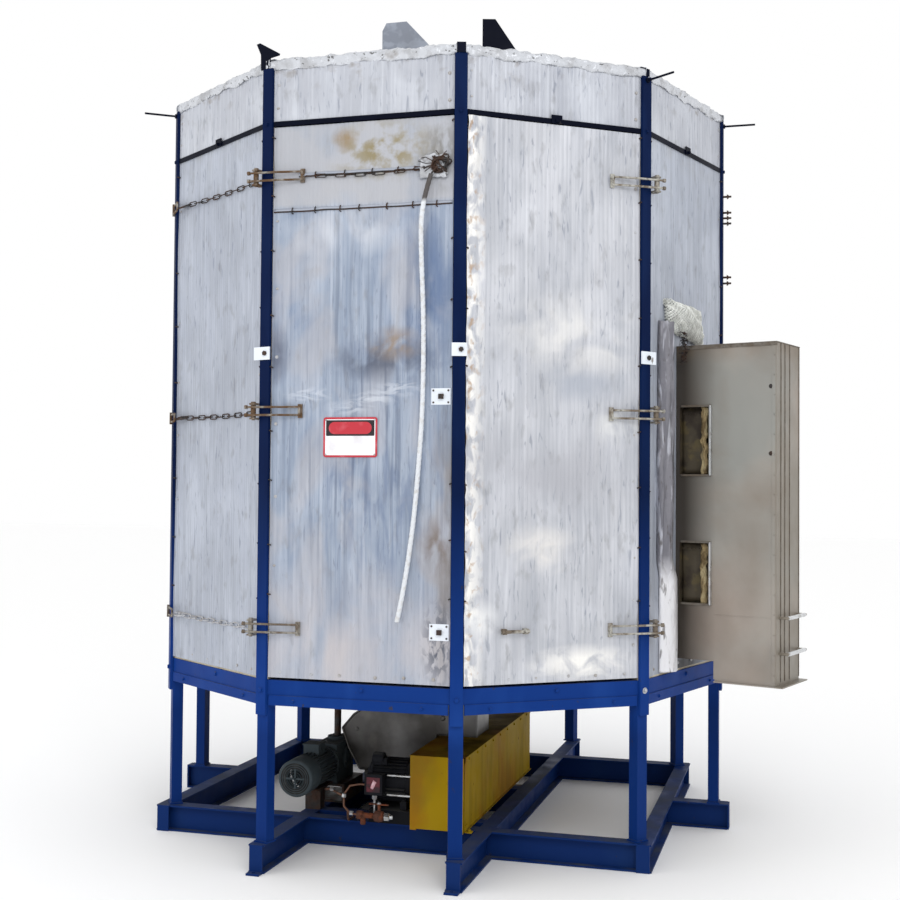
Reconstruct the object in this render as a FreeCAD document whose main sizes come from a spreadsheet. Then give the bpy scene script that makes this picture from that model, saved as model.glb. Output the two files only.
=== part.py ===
import FreeCAD, Part
import math
import os
import re
from FreeCAD import Placement, Rotation, Vector

# A ten-sided walk-in kiln on a steel base, in millimetres.
# The origin is on the kiln's upright axis, at the floor. +Z is up and -Y is the front,
# the side of the left door. The ten corner posts stand 36 degrees apart, and each face is
# drawn at the front and turned about Z into its place.

doc = FreeCAD.newDocument("kiln")

HALF_FACE = math.radians(18)
SIDE = 914.4

SIZES = {
    # plan of the ten sides
    "side": SIDE,
    "mitre": math.tan(HALF_FACE),
    "post_circle": SIDE / 2 / math.sin(HALF_FACE),
    "wall_face": 1395,
    "ring_face": 1400,
    "second_rail": 1197.0,
    "second_cross": 869.7,
    # levels
    "ring_low": 745,
    "ring_split": 790,
    "ring_top": 858,
    "panel_low": 868,
    "band_low": 3360,
    "band_top": 3382,
    "roof_low": 3392,
    "roof_mid": 3500,
    "roof_top": 3632,
    "curb": 46,
    "curb_sheet": 4,
    "post_low": 700,
    "post_top": 3627,
    "splice_level": 2328,
    # I-beams of the base
    "beam_high": 127,
    "beam_wide": 76,
    "flange": 8,
    "web": 6,
    "rail_end": 1432,
    "second_end": 908,
    "outrigger_end": 1510,
    "end_plate": 8,
    "lug_long": 36,
    "lug_wide": 62,
    "lug_hole": 18,
    "lug_hole_radius": 9,
    # legs and posts
    "leg_wide": 62,
    "leg_deep": 52,
    "leg_out": 1464.5,
    "leg_wall": 4,
    "foot_plate": 6,
    "post_wide": 56,
    "post_deep": 14.5,
    "post_web": 5,
    # walls
    "sheet": 2,
    "wool": 100,
    "liner": 1.5,
    "bar_deep": 12,
    # doors
    "door_edge": 424,
    "door_low": 870,
    "door_top": 3356,
    "plug_hinge": 420,
    "plug_latch": 414,
    "jamb_edge": 427,
    "jamb_deep": 60,
    "hinge_out": 1500,
    "hinge_side": 45,
    "pin_radius": 7,
    "pin_play": 0.06,
    "eye_radius": 12,
    "eye_half": 28,
    "strap_half": 18,
    "strap_bar": 10,
    "strap_end": 174,
    "latch_line": 376,
    # side duct
    "duct_front": -100,
    "duct_back": 205,
    "duct_near": 1397,
    "duct_step": 1590,
    "duct_far": 1895,
    "duct_low": 838,
    "duct_ledge": 922,
    "duct_top": 2415,
    "duct_sheet": 3,
    "duct_wool": 50,
    "duct_liner": 2,
    "access_near": 1416,
    "access_far": 1570,
    "low_access_foot": 1190,
    "low_access_head": 1474,
    "high_access_foot": 1800,
    "high_access_head": 2120,
    # air ports between the duct and the chamber
    "port_left": -40,
    "port_right": 145,
    "low_port_foot": 1010,
    "low_port_head": 1290,
    "high_port_foot": 2050,
    "high_port_head": 2330,
    # fan and belt drive
    "drive_level": 315,
    "motor_line": -800,
    "fan_line": 250,
    "fan_radius": 150,
    "pulley_mid": 235,
    "drive_pulley": 90,
    "driven_pulley": 126,
    "shaft_radius": 20,
    "guard_left": 117,
    "guard_right": 378,
    "guard_front": -980,
    "guard_back": 446,
    "guard_low": 133,
    "guard_top": 470,
    "guard_sheet": 3,
    "guard_way": 32,
    # turntable and its drive
    "table_radius": 1180,
    "table_level": 900,
    "table_shaft": 35,
    "sprocket_level": 722,
    "sprocket_thick": 12,
    "gear_x": -457.2,
    "gear_y": -420,
    "gear_level": 325,
}
LEVEL_CLAMPS = (1091, 2066, 3129)
LEVEL_LATCHES = (2125, 1100)

sheet = doc.addObject("Spreadsheet::Sheet", "Sizes")
for row, (alias, value) in enumerate(SIZES.items(), start=1):
    sheet.set("A%d" % row, alias)
    sheet.set("B%d" % row, str(round(value, 5)))
    sheet.setAlias("B%d" % row, alias)
doc.recompute()

nodes = {}


def cell(alias):
    """A size, read back from the sheet."""
    return float(getattr(sheet, alias))


def formula(text):
    """Names of sizes become references to the sheet's cells."""
    text = str(text)
    return re.sub(r"[a-z_]+",
                  lambda word: "Sizes." + word.group() if word.group() in SIZES else word.group(), text)


def spin(degrees):
    return Placement(Vector(), Rotation(Vector(0, 0, 1), degrees))


def span(name, across, deep, tall):
    """A block between two x, two y and two z formulas."""
    block = doc.addObject("Part::Box", name)
    edges = (("Length", "x", across), ("Width", "y", deep), ("Height", "z", tall))
    for size, axis, (low, high) in edges:
        block.setExpression(size, formula("(%s) - (%s)" % (high, low)))
        block.setExpression("Placement.Base." + axis, formula(low))
    return block


def rod(name, radius, length, at, along="z"):
    """A round bar that starts at a point and runs along one axis."""
    turns = {"z": Rotation(), "x": Rotation(Vector(0, 1, 0), 90), "y": Rotation(Vector(1, 0, 0), -90)}
    bar = doc.addObject("Part::Cylinder", name)
    bar.Placement = Placement(Vector(), turns[along])
    bar.setExpression("Radius", formula(radius))
    bar.setExpression("Height", formula(length))
    for axis, place in zip("xyz", at):
        bar.setExpression("Placement.Base." + axis, formula(place))
    return bar


def mitred(name, outer, inner, tall, left="0", right="0"):
    """A slab of one face, cut at both ends on the mitre, less a margin at each end."""
    slab = doc.addObject("Part::Wedge", name)
    ends = {
        "Xmin": "-(%s)*mitre + %s" % (outer, left),
        "Xmax": "(%s)*mitre - %s" % (outer, right),
        "X2min": "-(%s)*mitre + %s" % (inner, left),
        "X2max": "(%s)*mitre - %s" % (inner, right),
        "Ymin": "-(%s)" % outer,
        "Ymax": "-(%s)" % inner,
        "Zmin": tall[0],
        "Zmax": tall[1],
        "Z2min": tall[0],
        "Z2max": tall[1],
    }
    for prop, text in ends.items():
        slab.setExpression(prop, formula(text))
    return slab


def cut(name, base, tool):
    piece = doc.addObject("Part::Cut", name)
    piece.Base = base
    piece.Tool = tool
    return piece


def fused(name, things):
    piece = doc.addObject("Part::MultiFuse", name)
    piece.Shapes = things
    return piece


def group(name, things, placement=None):
    """Separate solids that belong together."""
    piece = doc.addObject("Part::Compound", name)
    piece.Links = things
    if placement is not None:
        piece.Placement = placement
    return piece


def plates(name, limits):
    """Flat pieces that butt against one another, each given by its x, y and z limits."""
    return [span("%s_%d" % (name, number), *limit) for number, limit in enumerate(limits)]


def ring_of_bars(name, across, deep, tall, open_across, open_deep):
    """Four flat bars round an open middle."""
    return plates(name, [
        ((across[0], open_across[0]), deep, tall),
        ((open_across[1], across[1]), deep, tall),
        (open_across, (deep[0], open_deep[0]), tall),
        (open_across, (open_deep[1], deep[1]), tall),
    ])


def round_axis(name, thing, turns):
    """Copies of a thing, each turned about the kiln's axis."""
    return [group("%s_%d" % (name, number), [thing], spin(turn)) for number, turn in enumerate(turns)]


def sketch_on(body, plane, points):
    """A closed outline of straight lines on one of the body's own planes."""
    sketch = body.newObject("Sketcher::SketchObject", body.Name + "_outline")
    face = [feature for feature in body.Origin.OriginFeatures if feature.Role == plane][0]
    sketch.AttachmentSupport = [(face, "")]
    sketch.MapMode = "FlatFace"
    corners = [Vector(x, y, 0) for x, y in points]
    for start, end in zip(corners, corners[1:] + corners[:1]):
        sketch.addGeometry(Part.LineSegment(start, end), False)
    return sketch


def padded(name, points, thickness, placement=None):
    """A body cut from plate: an outline in its own XY plane, given its thickness."""
    body = doc.addObject("PartDesign::Body", name)
    pad = body.newObject("PartDesign::Pad", name + "_pad")
    pad.Profile = sketch_on(body, "XY_Plane", points)
    pad.setExpression("Length", formula(thickness))
    if placement is not None:
        body.Placement = placement
    return body


def revolved(name, points, placement=None):
    """A turned body: radius and height points, swept about its own Z."""
    body = doc.addObject("PartDesign::Body", name)
    sketch = sketch_on(body, "XZ_Plane", points)
    turning = body.newObject("PartDesign::Revolution", name + "_turning")
    turning.Profile = sketch
    turning.ReferenceAxis = (sketch, ["V_Axis"])
    turning.Angle = 360
    if placement is not None:
        body.Placement = placement
    return body


def toothed(name, teeth, pitch, thickness, bore, placement):
    """A chain wheel: a disc with one tooth, patterned round it, and a bore."""
    root = pitch / 2 / math.sin(math.pi / teeth) - 0.32 * pitch
    tip = root + 0.5 * pitch
    body = doc.addObject("PartDesign::Body", name)
    disc = body.newObject("PartDesign::AdditiveCylinder", name + "_disc")
    disc.Radius = root
    disc.setExpression("Height", formula(thickness))
    tooth = body.newObject("PartDesign::Pad", name + "_tooth")
    foot = 0.26 * pitch
    crest = 0.1 * pitch
    tooth.Profile = sketch_on(body, "XY_Plane", [(root - 3, -foot), (tip, -crest), (tip, crest),
                                                 (root - 3, foot)])
    tooth.setExpression("Length", formula(thickness))
    doc.recompute()
    pattern = body.newObject("PartDesign::PolarPattern", name + "_teeth")
    pattern.Originals = [tooth]
    pattern.Axis = ([axis for axis in body.Origin.OriginFeatures if axis.Role == "Z_Axis"][0], [""])
    pattern.Angle = 360
    pattern.Occurrences = teeth
    body.Tip = pattern
    doc.recompute()
    hole = body.newObject("PartDesign::SubtractiveCylinder", name + "_bore")
    hole.setExpression("Radius", formula(bore))
    hole.setExpression("Height", formula(thickness))
    body.Placement = placement
    return body


def loop_wire(first, second, distance):
    """The line of a belt round two wheels, the first at the origin and the second along X."""
    lean = math.acos((first - second) / distance)
    up = Vector(math.cos(lean), math.sin(lean), 0)
    down = Vector(up.x, -up.y, 0)
    far = Vector(distance, 0, 0)
    edges = [
        Part.Arc(up * first, Vector(-first, 0, 0), down * first).toShape(),
        Part.LineSegment(down * first, far + down * second).toShape(),
        Part.Arc(far + down * second, far + Vector(second, 0, 0), far + up * second).toShape(),
        Part.LineSegment(far + up * second, up * first).toShape(),
    ]
    return Part.Wire(edges)


def loop_band(name, first, second, distance, thick, wide, placement):
    """A flat closed band round two wheels. Its inside follows both wheel radii."""
    outside = Part.Face(loop_wire(first + thick, second + thick, distance))
    inside = Part.Face(loop_wire(first, second, distance))
    band = doc.addObject("Part::Feature", name)
    band.Shape = outside.cut(inside).extrude(Vector(0, 0, wide))
    band.Placement = placement
    return band


def finish(label, thing):
    """The thing is a named sub-part of the kiln."""
    thing.Label = label
    nodes[label] = thing
    return thing


FACES = [36 * number for number in range(10)]
CORNERS = [18 + 36 * number for number in range(10)]
LEFT_DOOR = 0
RIGHT_DOOR = 36
DUCT_FACE = 72
CHAIN_FACE = -36
FIXED_FACES = [turn for turn in FACES if turn not in (LEFT_DOOR, RIGHT_DOOR)]
POST_LEFT = -18
POST_MIDDLE = 18
POST_RIGHT = 54
POST_FAR_LEFT = -54
POST_FAR_RIGHT = 90

# ---------------------------------------------------------------- base of I-beams


def beam_along_y(name, middle, end):
    across = ("%s - beam_wide/2" % middle, "%s + beam_wide/2" % middle)
    length = ("-(%s)" % end, end)
    parts = [
        span(name + "_foot", across, length, ("0", "flange")),
        span(name + "_web", ("%s - web/2" % middle, "%s + web/2" % middle), length,
             ("flange", "beam_high - flange")),
        span(name + "_top", across, length, ("beam_high - flange", "beam_high")),
    ]
    return fused(name, parts)


def beam_along_x(name, low, high, middle, left_reach, right_reach):
    """A cross beam, whose web reaches past its flanges to the web of the beam that it meets."""
    deep = ("%s - beam_wide/2" % middle, "%s + beam_wide/2" % middle)
    web_run = ("%s - %s" % (low, left_reach), "%s + %s" % (high, right_reach))
    thin = ("%s - web/2" % middle, "%s + web/2" % middle)
    parts = [
        span(name + "_foot", (low, high), deep, ("0", "flange")),
        span(name + "_web", web_run, thin, ("flange", "beam_high - flange")),
        span(name + "_top", (low, high), deep, ("beam_high - flange", "beam_high")),
    ]
    return fused(name, parts)


def base_beams():
    rails = [
        beam_along_y("rail_far_left", "-second_rail", "second_end"),
        beam_along_y("rail_left", "-side/2", "rail_end"),
        beam_along_y("rail_right", "side/2", "rail_end"),
        beam_along_y("rail_far_right", "second_rail", "second_end"),
    ]
    finish("base_long_beams", group("base_long_beams", rails))
    reach = "(beam_wide - web)/2"
    inner_left = "side/2 + beam_wide/2"
    inner_right = "second_rail - beam_wide/2"
    crosses = []
    for name, row in (("front", "-second_cross"), ("middle", "0"), ("rear", "second_cross")):
        crosses.append(beam_along_x("cross_mid_" + name, "-side/2 + beam_wide/2", "side/2 - beam_wide/2",
                                    row, reach, reach))
        if row != "0":
            crosses += [
                beam_along_x("cross_left_" + name, "-(%s)" % inner_right, "-(%s)" % inner_left, row, reach,
                             reach),
                beam_along_x("cross_right_" + name, inner_left, inner_right, row, reach, reach),
            ]
    outer = "second_rail + beam_wide/2"
    crosses += [
        beam_along_x("outrigger_left", "-outrigger_end", "-(%s)" % outer, "0", "0", reach),
        beam_along_x("outrigger_right", outer, "outrigger_end", "0", reach, "0"),
    ]
    finish("base_cross_beams", group("base_cross_beams", crosses))


def beam_end_plates():
    """Closing plates on the beam ends, and four drilled lugs for anchor bolts."""
    half = "lug_wide/2"
    things = []
    for side_name, x in (("left", "-side/2"), ("right", "side/2")):
        across = ("%s - %s" % (x, half), "%s + %s" % (x, half))
        front = span("plate_front_" + side_name, across, ("-rail_end - end_plate", "-rail_end"),
                     ("0", "beam_high"))
        lug = span("lug_block_" + side_name, across, ("-rail_end - end_plate - lug_long",
                                                      "-rail_end - end_plate"), ("0", "10"))
        hole = rod("lug_drill_" + side_name, "lug_hole_radius", "10",
                   (x, "-rail_end - end_plate - lug_hole", "0"))
        foot = cut("lug_" + side_name, lug, hole)
        things += [front, foot]
        things += [group("rear_" + piece.Name, [piece], spin(180)) for piece in (front, foot)]
    for side_name, x in (("left", "-second_rail"), ("right", "second_rail")):
        across = ("%s - %s" % (x, half), "%s + %s" % (x, half))
        plate = span("plate_second_" + side_name, across, ("-second_end - end_plate", "-second_end"),
                     ("0", "beam_high"))
        things += [plate, group("rear_" + plate.Name, [plate], spin(180))]
    plate = span("plate_outrigger", ("outrigger_end", "outrigger_end + end_plate"), ("-" + half, half),
                 ("0", "beam_high"))
    things += [plate, group("left_outrigger", [plate], spin(180))]
    finish("beam_end_plates", group("beam_end_plates", things))


# ---------------------------------------------------------------- legs, ring beam, posts


def legs():
    outside = span("leg_outside", ("-leg_wide/2", "leg_wide/2"), ("-leg_out", "leg_deep - leg_out"),
                   ("beam_high + foot_plate", "ring_split"))
    inside = span("leg_inside", ("leg_wall - leg_wide/2", "leg_wide/2 - leg_wall"),
                  ("leg_wall - leg_out", "leg_deep - leg_out - leg_wall"), ("beam_high + foot_plate",
                                                                            "ring_split"))
    leg = cut("leg", outside, inside)
    foot = span("leg_foot", ("-leg_wide/2 - 6", "leg_wide/2 + 6"),
                ("-leg_out - 6", "leg_deep - leg_out + 6"),
                ("beam_high", "beam_high + foot_plate"))
    finish("legs", group("legs", round_axis("leg_at", leg, CORNERS) + round_axis("foot_at", foot, CORNERS)))


def ring_beam():
    """Each side has a channel, mitred at the corners, on a flat angle that stands a little proud."""
    channel_depth = "60"
    solid = mitred("channel_solid", "ring_face", "ring_face - " + channel_depth, ("ring_split", "ring_top"),
                   "0.5", "0.5")
    hollow = span("channel_hollow", ("-side", "side"), ("6 - ring_face", "60 - ring_face"),
                  ("ring_split + 6", "ring_top - 6"))
    channel = cut("ring_channel", solid, hollow)
    angle = fused("ring_angle", [
        span("angle_face", ("38 - side/2", "side/2 - 38"), ("-ring_face - 6", "-ring_face"),
             ("ring_low", "ring_split")),
        span("angle_ledge", ("56 - side/2", "side/2 - 56"), ("-ring_face", "55 - ring_face"),
             ("ring_split - 6", "ring_split")),
    ])
    finish("ring_beam", group("ring_beam", round_axis("channel_at", channel,
                                                      FACES) + round_axis("angle_at", angle, FACES)))


def corner_posts():
    """Shallow channels over the seams, from below the ring to the roof."""
    wide = cell("post_wide") / 2
    front = -cell("post_circle")
    web = front + cell("post_web")
    back = front + cell("post_deep")
    lip = wide - 4
    outline = [(-wide, front), (wide, front), (wide, back), (lip, back), (lip, web), (-lip, web),
               (-lip, back), (-wide, back)]
    post = padded("post", outline, "post_top - post_low",
                  Placement(Vector(0, 0, cell("post_low")), Rotation()))
    finish("corner_posts", group("corner_posts", round_axis("post_at", post, CORNERS)))
    splices = []
    for seam, low, high in ((POST_LEFT, "-58", "33"), (POST_MIDDLE, "-33", "33"),
                            (POST_RIGHT, "-33", "58")):
        plate = span("splice_plate", (low, high), ("-post_circle - 7", "-post_circle"),
                     ("splice_level - 29", "splice_level + 29"))
        bolt = rod("splice_bolt", "9", "8", ("8", "-post_circle - 15", "splice_level"), "y")
        splices += round_axis("splice_at", plate, [seam]) + round_axis("splice_bolt_at", bolt, [seam])
    finish("splice_plates", group("splice_plates", splices))


# ---------------------------------------------------------------- walls and floor


def band_bars():
    """The dark bars above the panels, with a bolted clip in the middle of each fixed one."""
    bar = span("band_bar", ("-side/2 + 32", "side/2 - 32"), ("-wall_face - bar_deep", "-wall_face"),
               ("band_low", "band_top"))
    back = mitred("band_back", "wall_face", "wall_face - 40", ("band_low", "band_top"), "1", "1")
    rail = fused("band_rail", [bar, back])
    clip = fused("band_clip", [
        span("clip_plate", ("-26", "26"), ("-wall_face - bar_deep - 6", "-wall_face - bar_deep"),
             ("band_low", "band_top + 16")),
        rod("clip_bolt", "8", "12", ("0", "-wall_face - bar_deep - 16", "band_low + 12"), "y"),
    ])
    clip_faces = [turn for turn in FACES if turn != LEFT_DOOR]
    finish("band_bars", group("band_bars", round_axis("band_at", rail,
                                                      FACES) + round_axis("clip_at", clip, clip_faces)))


def round_ports(slab):
    """The slab behind the duct, pieced together round the two air ports."""
    full_height = ("0", "roof_top")
    between = ("port_left", "port_right")
    regions = [
        (("-side", "port_left"), full_height),
        (("port_right", "side"), full_height),
        (between, ("0", "low_port_foot")),
        (between, ("low_port_head", "high_port_foot")),
        (between, ("high_port_head", "roof_top")),
    ]
    strips = []
    for number, (across, tall) in enumerate(regions):
        strip = doc.addObject("Part::Common", "%s_strip_%d" % (slab.Name, number))
        strip.Base = slab
        strip.Tool = span("%s_reach_%d" % (slab.Name, number), across, ("-roof_top", "0"), tall)
        strips.append(strip)
    return group("ported_" + slab.Name, strips, spin(DUCT_FACE))


def walls():
    skin = mitred("skin", "wall_face", "wall_face - sheet", ("panel_low", "band_low"), "1", "1")
    wool = mitred("wool_slab", "wall_face - sheet", "wall_face - sheet - wool", ("ring_top", "band_low"),
                  "1", "1")
    lining = mitred("lining", "wall_face - sheet - wool", "wall_face - sheet - wool - liner",
                    ("ring_top", "band_low"), "1", "1")
    plain = [turn for turn in FIXED_FACES if turn != DUCT_FACE]
    duct_side = [round_ports(slab) for slab in (skin, wool, lining)]
    finish("wall_panels", group("wall_panels", round_axis("skin_at", skin, plain) + [duct_side[0]]))
    header = mitred("header", "wall_face - sheet", "wall_face - sheet - wool", ("band_top", "roof_mid"),
                    "1", "1")
    roof_plan = ten_sides(cell("wall_face") - cell("sheet") - cell("wool") - 2)
    above = Placement(Vector(0, 0, cell("roof_low")), Rotation())
    roof_wool = cut("roof_wool_open", padded("roof_wool", roof_plan, "roof_mid - roof_low", above),
                    vent_way("roof_wool"))
    jamb = doc.addObject("Part::Wedge", "jamb")
    jamb_ends = {
        "Xmin": "-(wall_face - sheet)*mitre + 1", "Xmax": "-jamb_edge",
        "X2min": "-(wall_face - sheet - jamb_deep)*mitre + 1", "X2max": "-jamb_edge",
        "Ymin": "sheet - wall_face", "Ymax": "sheet - wall_face + jamb_deep",
        "Zmin": "ring_top", "Zmax": "band_low", "Z2min": "ring_top", "Z2max": "band_low",
    }
    for prop, text in jamb_ends.items():
        jamb.setExpression(prop, formula(text))
    mirrored = doc.addObject("Part::Mirroring", "jamb_mirrored")
    mirrored.Source = jamb
    mirrored.Normal = Vector(1, 0, 0)
    jambs = round_axis("left_jamb", jamb, (LEFT_DOOR, RIGHT_DOOR)) + round_axis("right_jamb", mirrored,
                                                                                (LEFT_DOOR, RIGHT_DOOR))
    slabs = round_axis("wool_at", wool, plain) + [duct_side[1]] + round_axis("header_at", header, FACES)
    finish("wall_insulation", group("wall_insulation", slabs + [roof_wool] + jambs))
    below = Placement(Vector(0, 0, cell("roof_low") - cell("liner")), Rotation())
    ceiling = cut("ceiling_open", padded("ceiling", roof_plan, "liner", below), vent_way("ceiling"))
    finish("inner_lining", group("inner_lining", round_axis("lining_at", lining,
                                                            plain) + [duct_side[2], ceiling]))
    fascia = mitred("fascia", "wall_face", "wall_face - sheet", ("band_top", "roof_top"), "1", "1")
    finish("fascia_panels", group("fascia_panels", round_axis("fascia_at", fascia, FACES)))


def vent_way(name):
    """A block that cuts the vent's way up through the roof."""
    return span(name + "_vent_way", ("-65", "95"), ("-815", "-685"), ("band_low", "roof_top + 100"))


def ten_sides(apothem):
    """Corners of a regular ten-sided outline whose flat sides face the kiln's faces."""
    radius = apothem / math.cos(HALF_FACE)
    return [(radius * math.cos(math.radians(36 * n)),
             radius * math.sin(math.radians(36 * n))) for n in range(10)]


def kiln_floor():
    """A steel deck on the ring's ledge, and firebrick over it, both open for air and for the shaft."""
    plan = ten_sides(cell("ring_face") - 62)
    openings = fused("floor_openings", [
        span("floor_intake", ("-60", "140"), ("-470", "-230"), ("700", "900")),
        span("floor_outlet", ("-258", "-22"), ("292", "437"), ("700", "900")),
        rod("floor_shaft_way", "table_shaft + 8", "200", ("0", "0", "700")),
    ])
    plate = padded("deck_plate", plan, "6", Placement(Vector(0, 0, cell("ring_split")), Rotation()))
    finish("floor_deck", cut("floor_deck", plate, openings))
    brick = padded("brick_bed", plan, "56", Placement(Vector(0, 0, cell("ring_split") + 6), Rotation()))
    finish("floor_insulation", cut("floor_insulation", brick, openings))


# ---------------------------------------------------------------- roof


def roof():
    joist = span("joist", ("-1240", "1240"), ("-30", "30"), ("roof_mid", "roof_top - 4"))
    channel = cut("joist_channel", joist, span("joist_hollow", ("-1240", "1240"), ("-24", "30"),
                                               ("roof_mid + 6", "roof_top - 10")))
    joists = []
    for number, line in enumerate((-640, -220, 220, 640)):
        joists.append(group("joist_%d" % number, [channel], Placement(Vector(0, line, 0), Rotation())))
    finish("roof_joists", group("roof_joists", joists))
    sheet_plan = ten_sides(cell("wall_face") - cell("sheet") - 1)
    top = padded("roof_plate", sheet_plan, "4", Placement(Vector(0, 0, cell("roof_top") - 4), Rotation()))
    finish("roof_skin", cut("roof_skin", top, vent_way("roof_skin")))
    curb_top, curb_under = "roof_top + curb", "roof_top + curb - curb_sheet"
    edge = fused("flashing", [
        mitred("flashing_face", "wall_face + 5", "wall_face + 5 - curb_sheet", ("roof_top", curb_top), "1",
               "1"),
        mitred("flashing_top", "wall_face + 5", "wall_face - 90", (curb_under, curb_top), "1", "1"),
        mitred("flashing_back", "wall_face + curb_sheet - 90", "wall_face - 90", ("roof_top", curb_top),
               "1", "1"),
        mitred("flashing_lip", "wall_face + 5", "wall_face + 1", ("roof_top - 18", "roof_top + 1"), "30",
               "30"),
    ])
    finish("roof_flashing", group("roof_flashing", round_axis("flashing_at", edge, FACES)))


def vent_hood():
    """A galvanised hood over the vent opening, open below and at its back."""
    outline = [(-100, 3632), (130, 3632), (130, 3880), (24, 3995), (-80, 3995), (-100, 3958)]
    inner = [(-97, 3631), (127, 3631), (127, 3879), (22.5, 3992), (-78, 3992), (-97, 3957)]
    upright = Placement(Vector(0, -650, 0), Rotation(Vector(1, 0, 0), 90))
    outside = padded("hood_outside", outline, "200", upright)
    inside = padded("hood_inside", inner, "194", Placement(Vector(0, -653, 0),
                                                           Rotation(Vector(1, 0, 0), 90)))
    outlet = span("hood_outlet", ("-75", "105"), ("-660", "-640"), ("3680", "3850"))
    finish("vent_hood", cut("vent_hood", outside, fused("hood_hollow", [inside, outlet])))


def roof_lugs():
    """A lifting lug on the roof, a gusset on the left door's hinge post, and caps on the next two posts."""
    lug_outline = [(-73, 0), (205, 0), (205, 10), (-12, 331), (-73, 331)]
    across = Rotation(Vector(0, 0, 1), 16) * Rotation(Vector(1, 0, 0), 90)
    lug = padded("lifting_lug", lug_outline, "12", Placement(Vector(480, -844, cell("roof_top")), across))
    gusset_outline = [(-42, 0), (10, 0), (12, 48), (66, 52), (66, 60), (-50, 127), (-70, 124), (-44, 72)]
    upright = Placement(Vector(0, 7 - cell("post_circle"), cell("post_top")), Rotation(Vector(1, 0, 0), 90))
    gusset = padded("gusset", gusset_outline, "7", upright)
    things = [lug] + round_axis("gusset_at", gusset, [POST_LEFT])
    for seam, half, high in ((POST_MIDDLE, "20", "45"), (POST_RIGHT, "9", "33")):
        cap = span("post_cap", ("-" + half, half), ("-post_circle - 6", "4 - post_circle"),
                   ("post_top", "post_top + " + high))
        things += round_axis("cap_at", cap, [seam])
    finish("roof_lugs", group("roof_lugs", things))


def tie_rods():
    """Thin rods that stand out of the post tops."""
    bar = rod("tie_bar", "5", "160", ("0", "-post_circle - 160", "3608"), "y")
    nut = rod("tie_nut", "11", "9", ("0", "-post_circle - 9", "3608"), "y")
    seams = (POST_FAR_LEFT, POST_RIGHT, POST_FAR_RIGHT)
    finish("tie_rods", group("tie_rods", round_axis("tie_at", fused("tie_rod", [bar, nut]), seams)))


# ---------------------------------------------------------------- doors


def hinge_place(hand):
    """The door's pivot, in the frame of its own face; hand is -1 for a hinge on the left."""
    corner = math.radians(-90 + 18 * hand)
    out = Vector(math.cos(corner), math.sin(corner), 0) * cell("hinge_out")
    along = Vector(-math.sin(corner), math.cos(corner), 0) * cell("hinge_side") * hand
    return out + along


def either_hand(hand, low, high):
    """Two x formulas, drawn for a hinge on the left and mirrored for one on the right."""
    return (low, high) if hand < 0 else ("-(%s)" % high, "-(%s)" % low)


def door_leaf(prefix, hand, turn, latch_levels=()):
    """The outer sheet, the wool plug that narrows inwards, and the inner sheet, bored for its latches."""
    edge = either_hand(hand, "-door_edge", "door_edge")
    outer = span(prefix + "_outer", edge, ("-wall_face", "sheet - wall_face"), ("door_low", "door_top"))
    back = either_hand(hand, "-plug_hinge + 10", "plug_latch - 12")
    inner = span(prefix + "_inner", back, ("sheet - wall_face + wool", "sheet - wall_face + wool + liner"),
                 ("door_low + 6", "door_top - 6"))
    bores = [rod("%s_bore_%d" % (prefix, level), "10", "wool + 40",
                 ("latch_line", "-wall_face - 20", str(level)), "y")
             for level in latch_levels]

    def bored(thing):
        return cut(thing.Name + "_bored", thing, fused(thing.Name + "_bores", bores)) if bores else thing

    finish(prefix + "_door_skins", group(prefix + "_skins", [bored(outer), bored(inner)], spin(turn)))
    plug = doc.addObject("Part::Wedge", prefix + "_plug")
    front_edge = either_hand(hand, "-plug_hinge", "plug_latch")
    ends = {
        "Xmin": front_edge[0], "Xmax": front_edge[1], "X2min": back[0], "X2max": back[1],
        "Ymin": "sheet - wall_face", "Ymax": "sheet - wall_face + wool",
        "Zmin": "door_low + 2", "Zmax": "door_top - 2", "Z2min": "door_low + 6", "Z2max": "door_top - 6",
    }
    for prop, text in ends.items():
        plug.setExpression(prop, formula(text))
    finish(prefix + "_door_insulation", group(prefix + "_insulation", [bored(plug)], spin(turn)))


def strap_bars(name, hand, level):
    """A hairpin strap: two bars from the hinge eye over the post, joined on the door."""
    pivot = hinge_place(hand)
    inward = -hand
    start = Vector(pivot.x, pivot.y, 0)
    door_point = Vector((cell("side") / 2 - cell("strap_end")) * hand, -cell("wall_face") - 13, 0)
    bend = Vector((cell("side") / 2 - 48) * hand, -cell("wall_face") - 30, 0)
    tail = start - Vector(24 * inward, 0, 0)
    half = cell("strap_half")
    bar = cell("strap_bar") / 2
    offset = Vector(0, -cell("eye_radius") - bar + 2, 0)
    route = [tail + offset, start + offset, bend, door_point]
    pieces = []
    for sign in (-1, 1):
        height = Vector(0, 0, level + sign * half)
        for begin, end in zip(route, route[1:]):
            run = Part.makeCylinder(bar, (end - begin).Length, begin + height, end - begin)
            pieces.append(run)
        pieces += [Part.makeSphere(bar, point + height) for point in route[1:]]
        pieces.append(Part.makeCylinder(9, 11, tail + offset + height, Vector(-inward, 0, 0)))
    pieces.append(Part.makeCylinder(bar, 2 * half, door_point + Vector(0, 0, level - half),
                                    Vector(0, 0, 1)))
    pieces.append(Part.makeBox(20, 10.5, 2 * half + 26, Vector(door_point.x - 10, -cell("wall_face") - 10.5,
                                                               level - half - 13)))
    eye = Part.makeCylinder(cell("eye_radius"), 2 * cell("eye_half"),
                            start + Vector(0, 0, level - cell("eye_half")))
    strap = eye.fuse(pieces).removeSplitter()
    strap = strap.cut(Part.makeCylinder(cell("pin_radius") + cell("pin_play"), 200,
                                        start + Vector(0, 0, level - 100)))
    feature = doc.addObject("Part::Feature", name)
    feature.Shape = strap
    return feature


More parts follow.
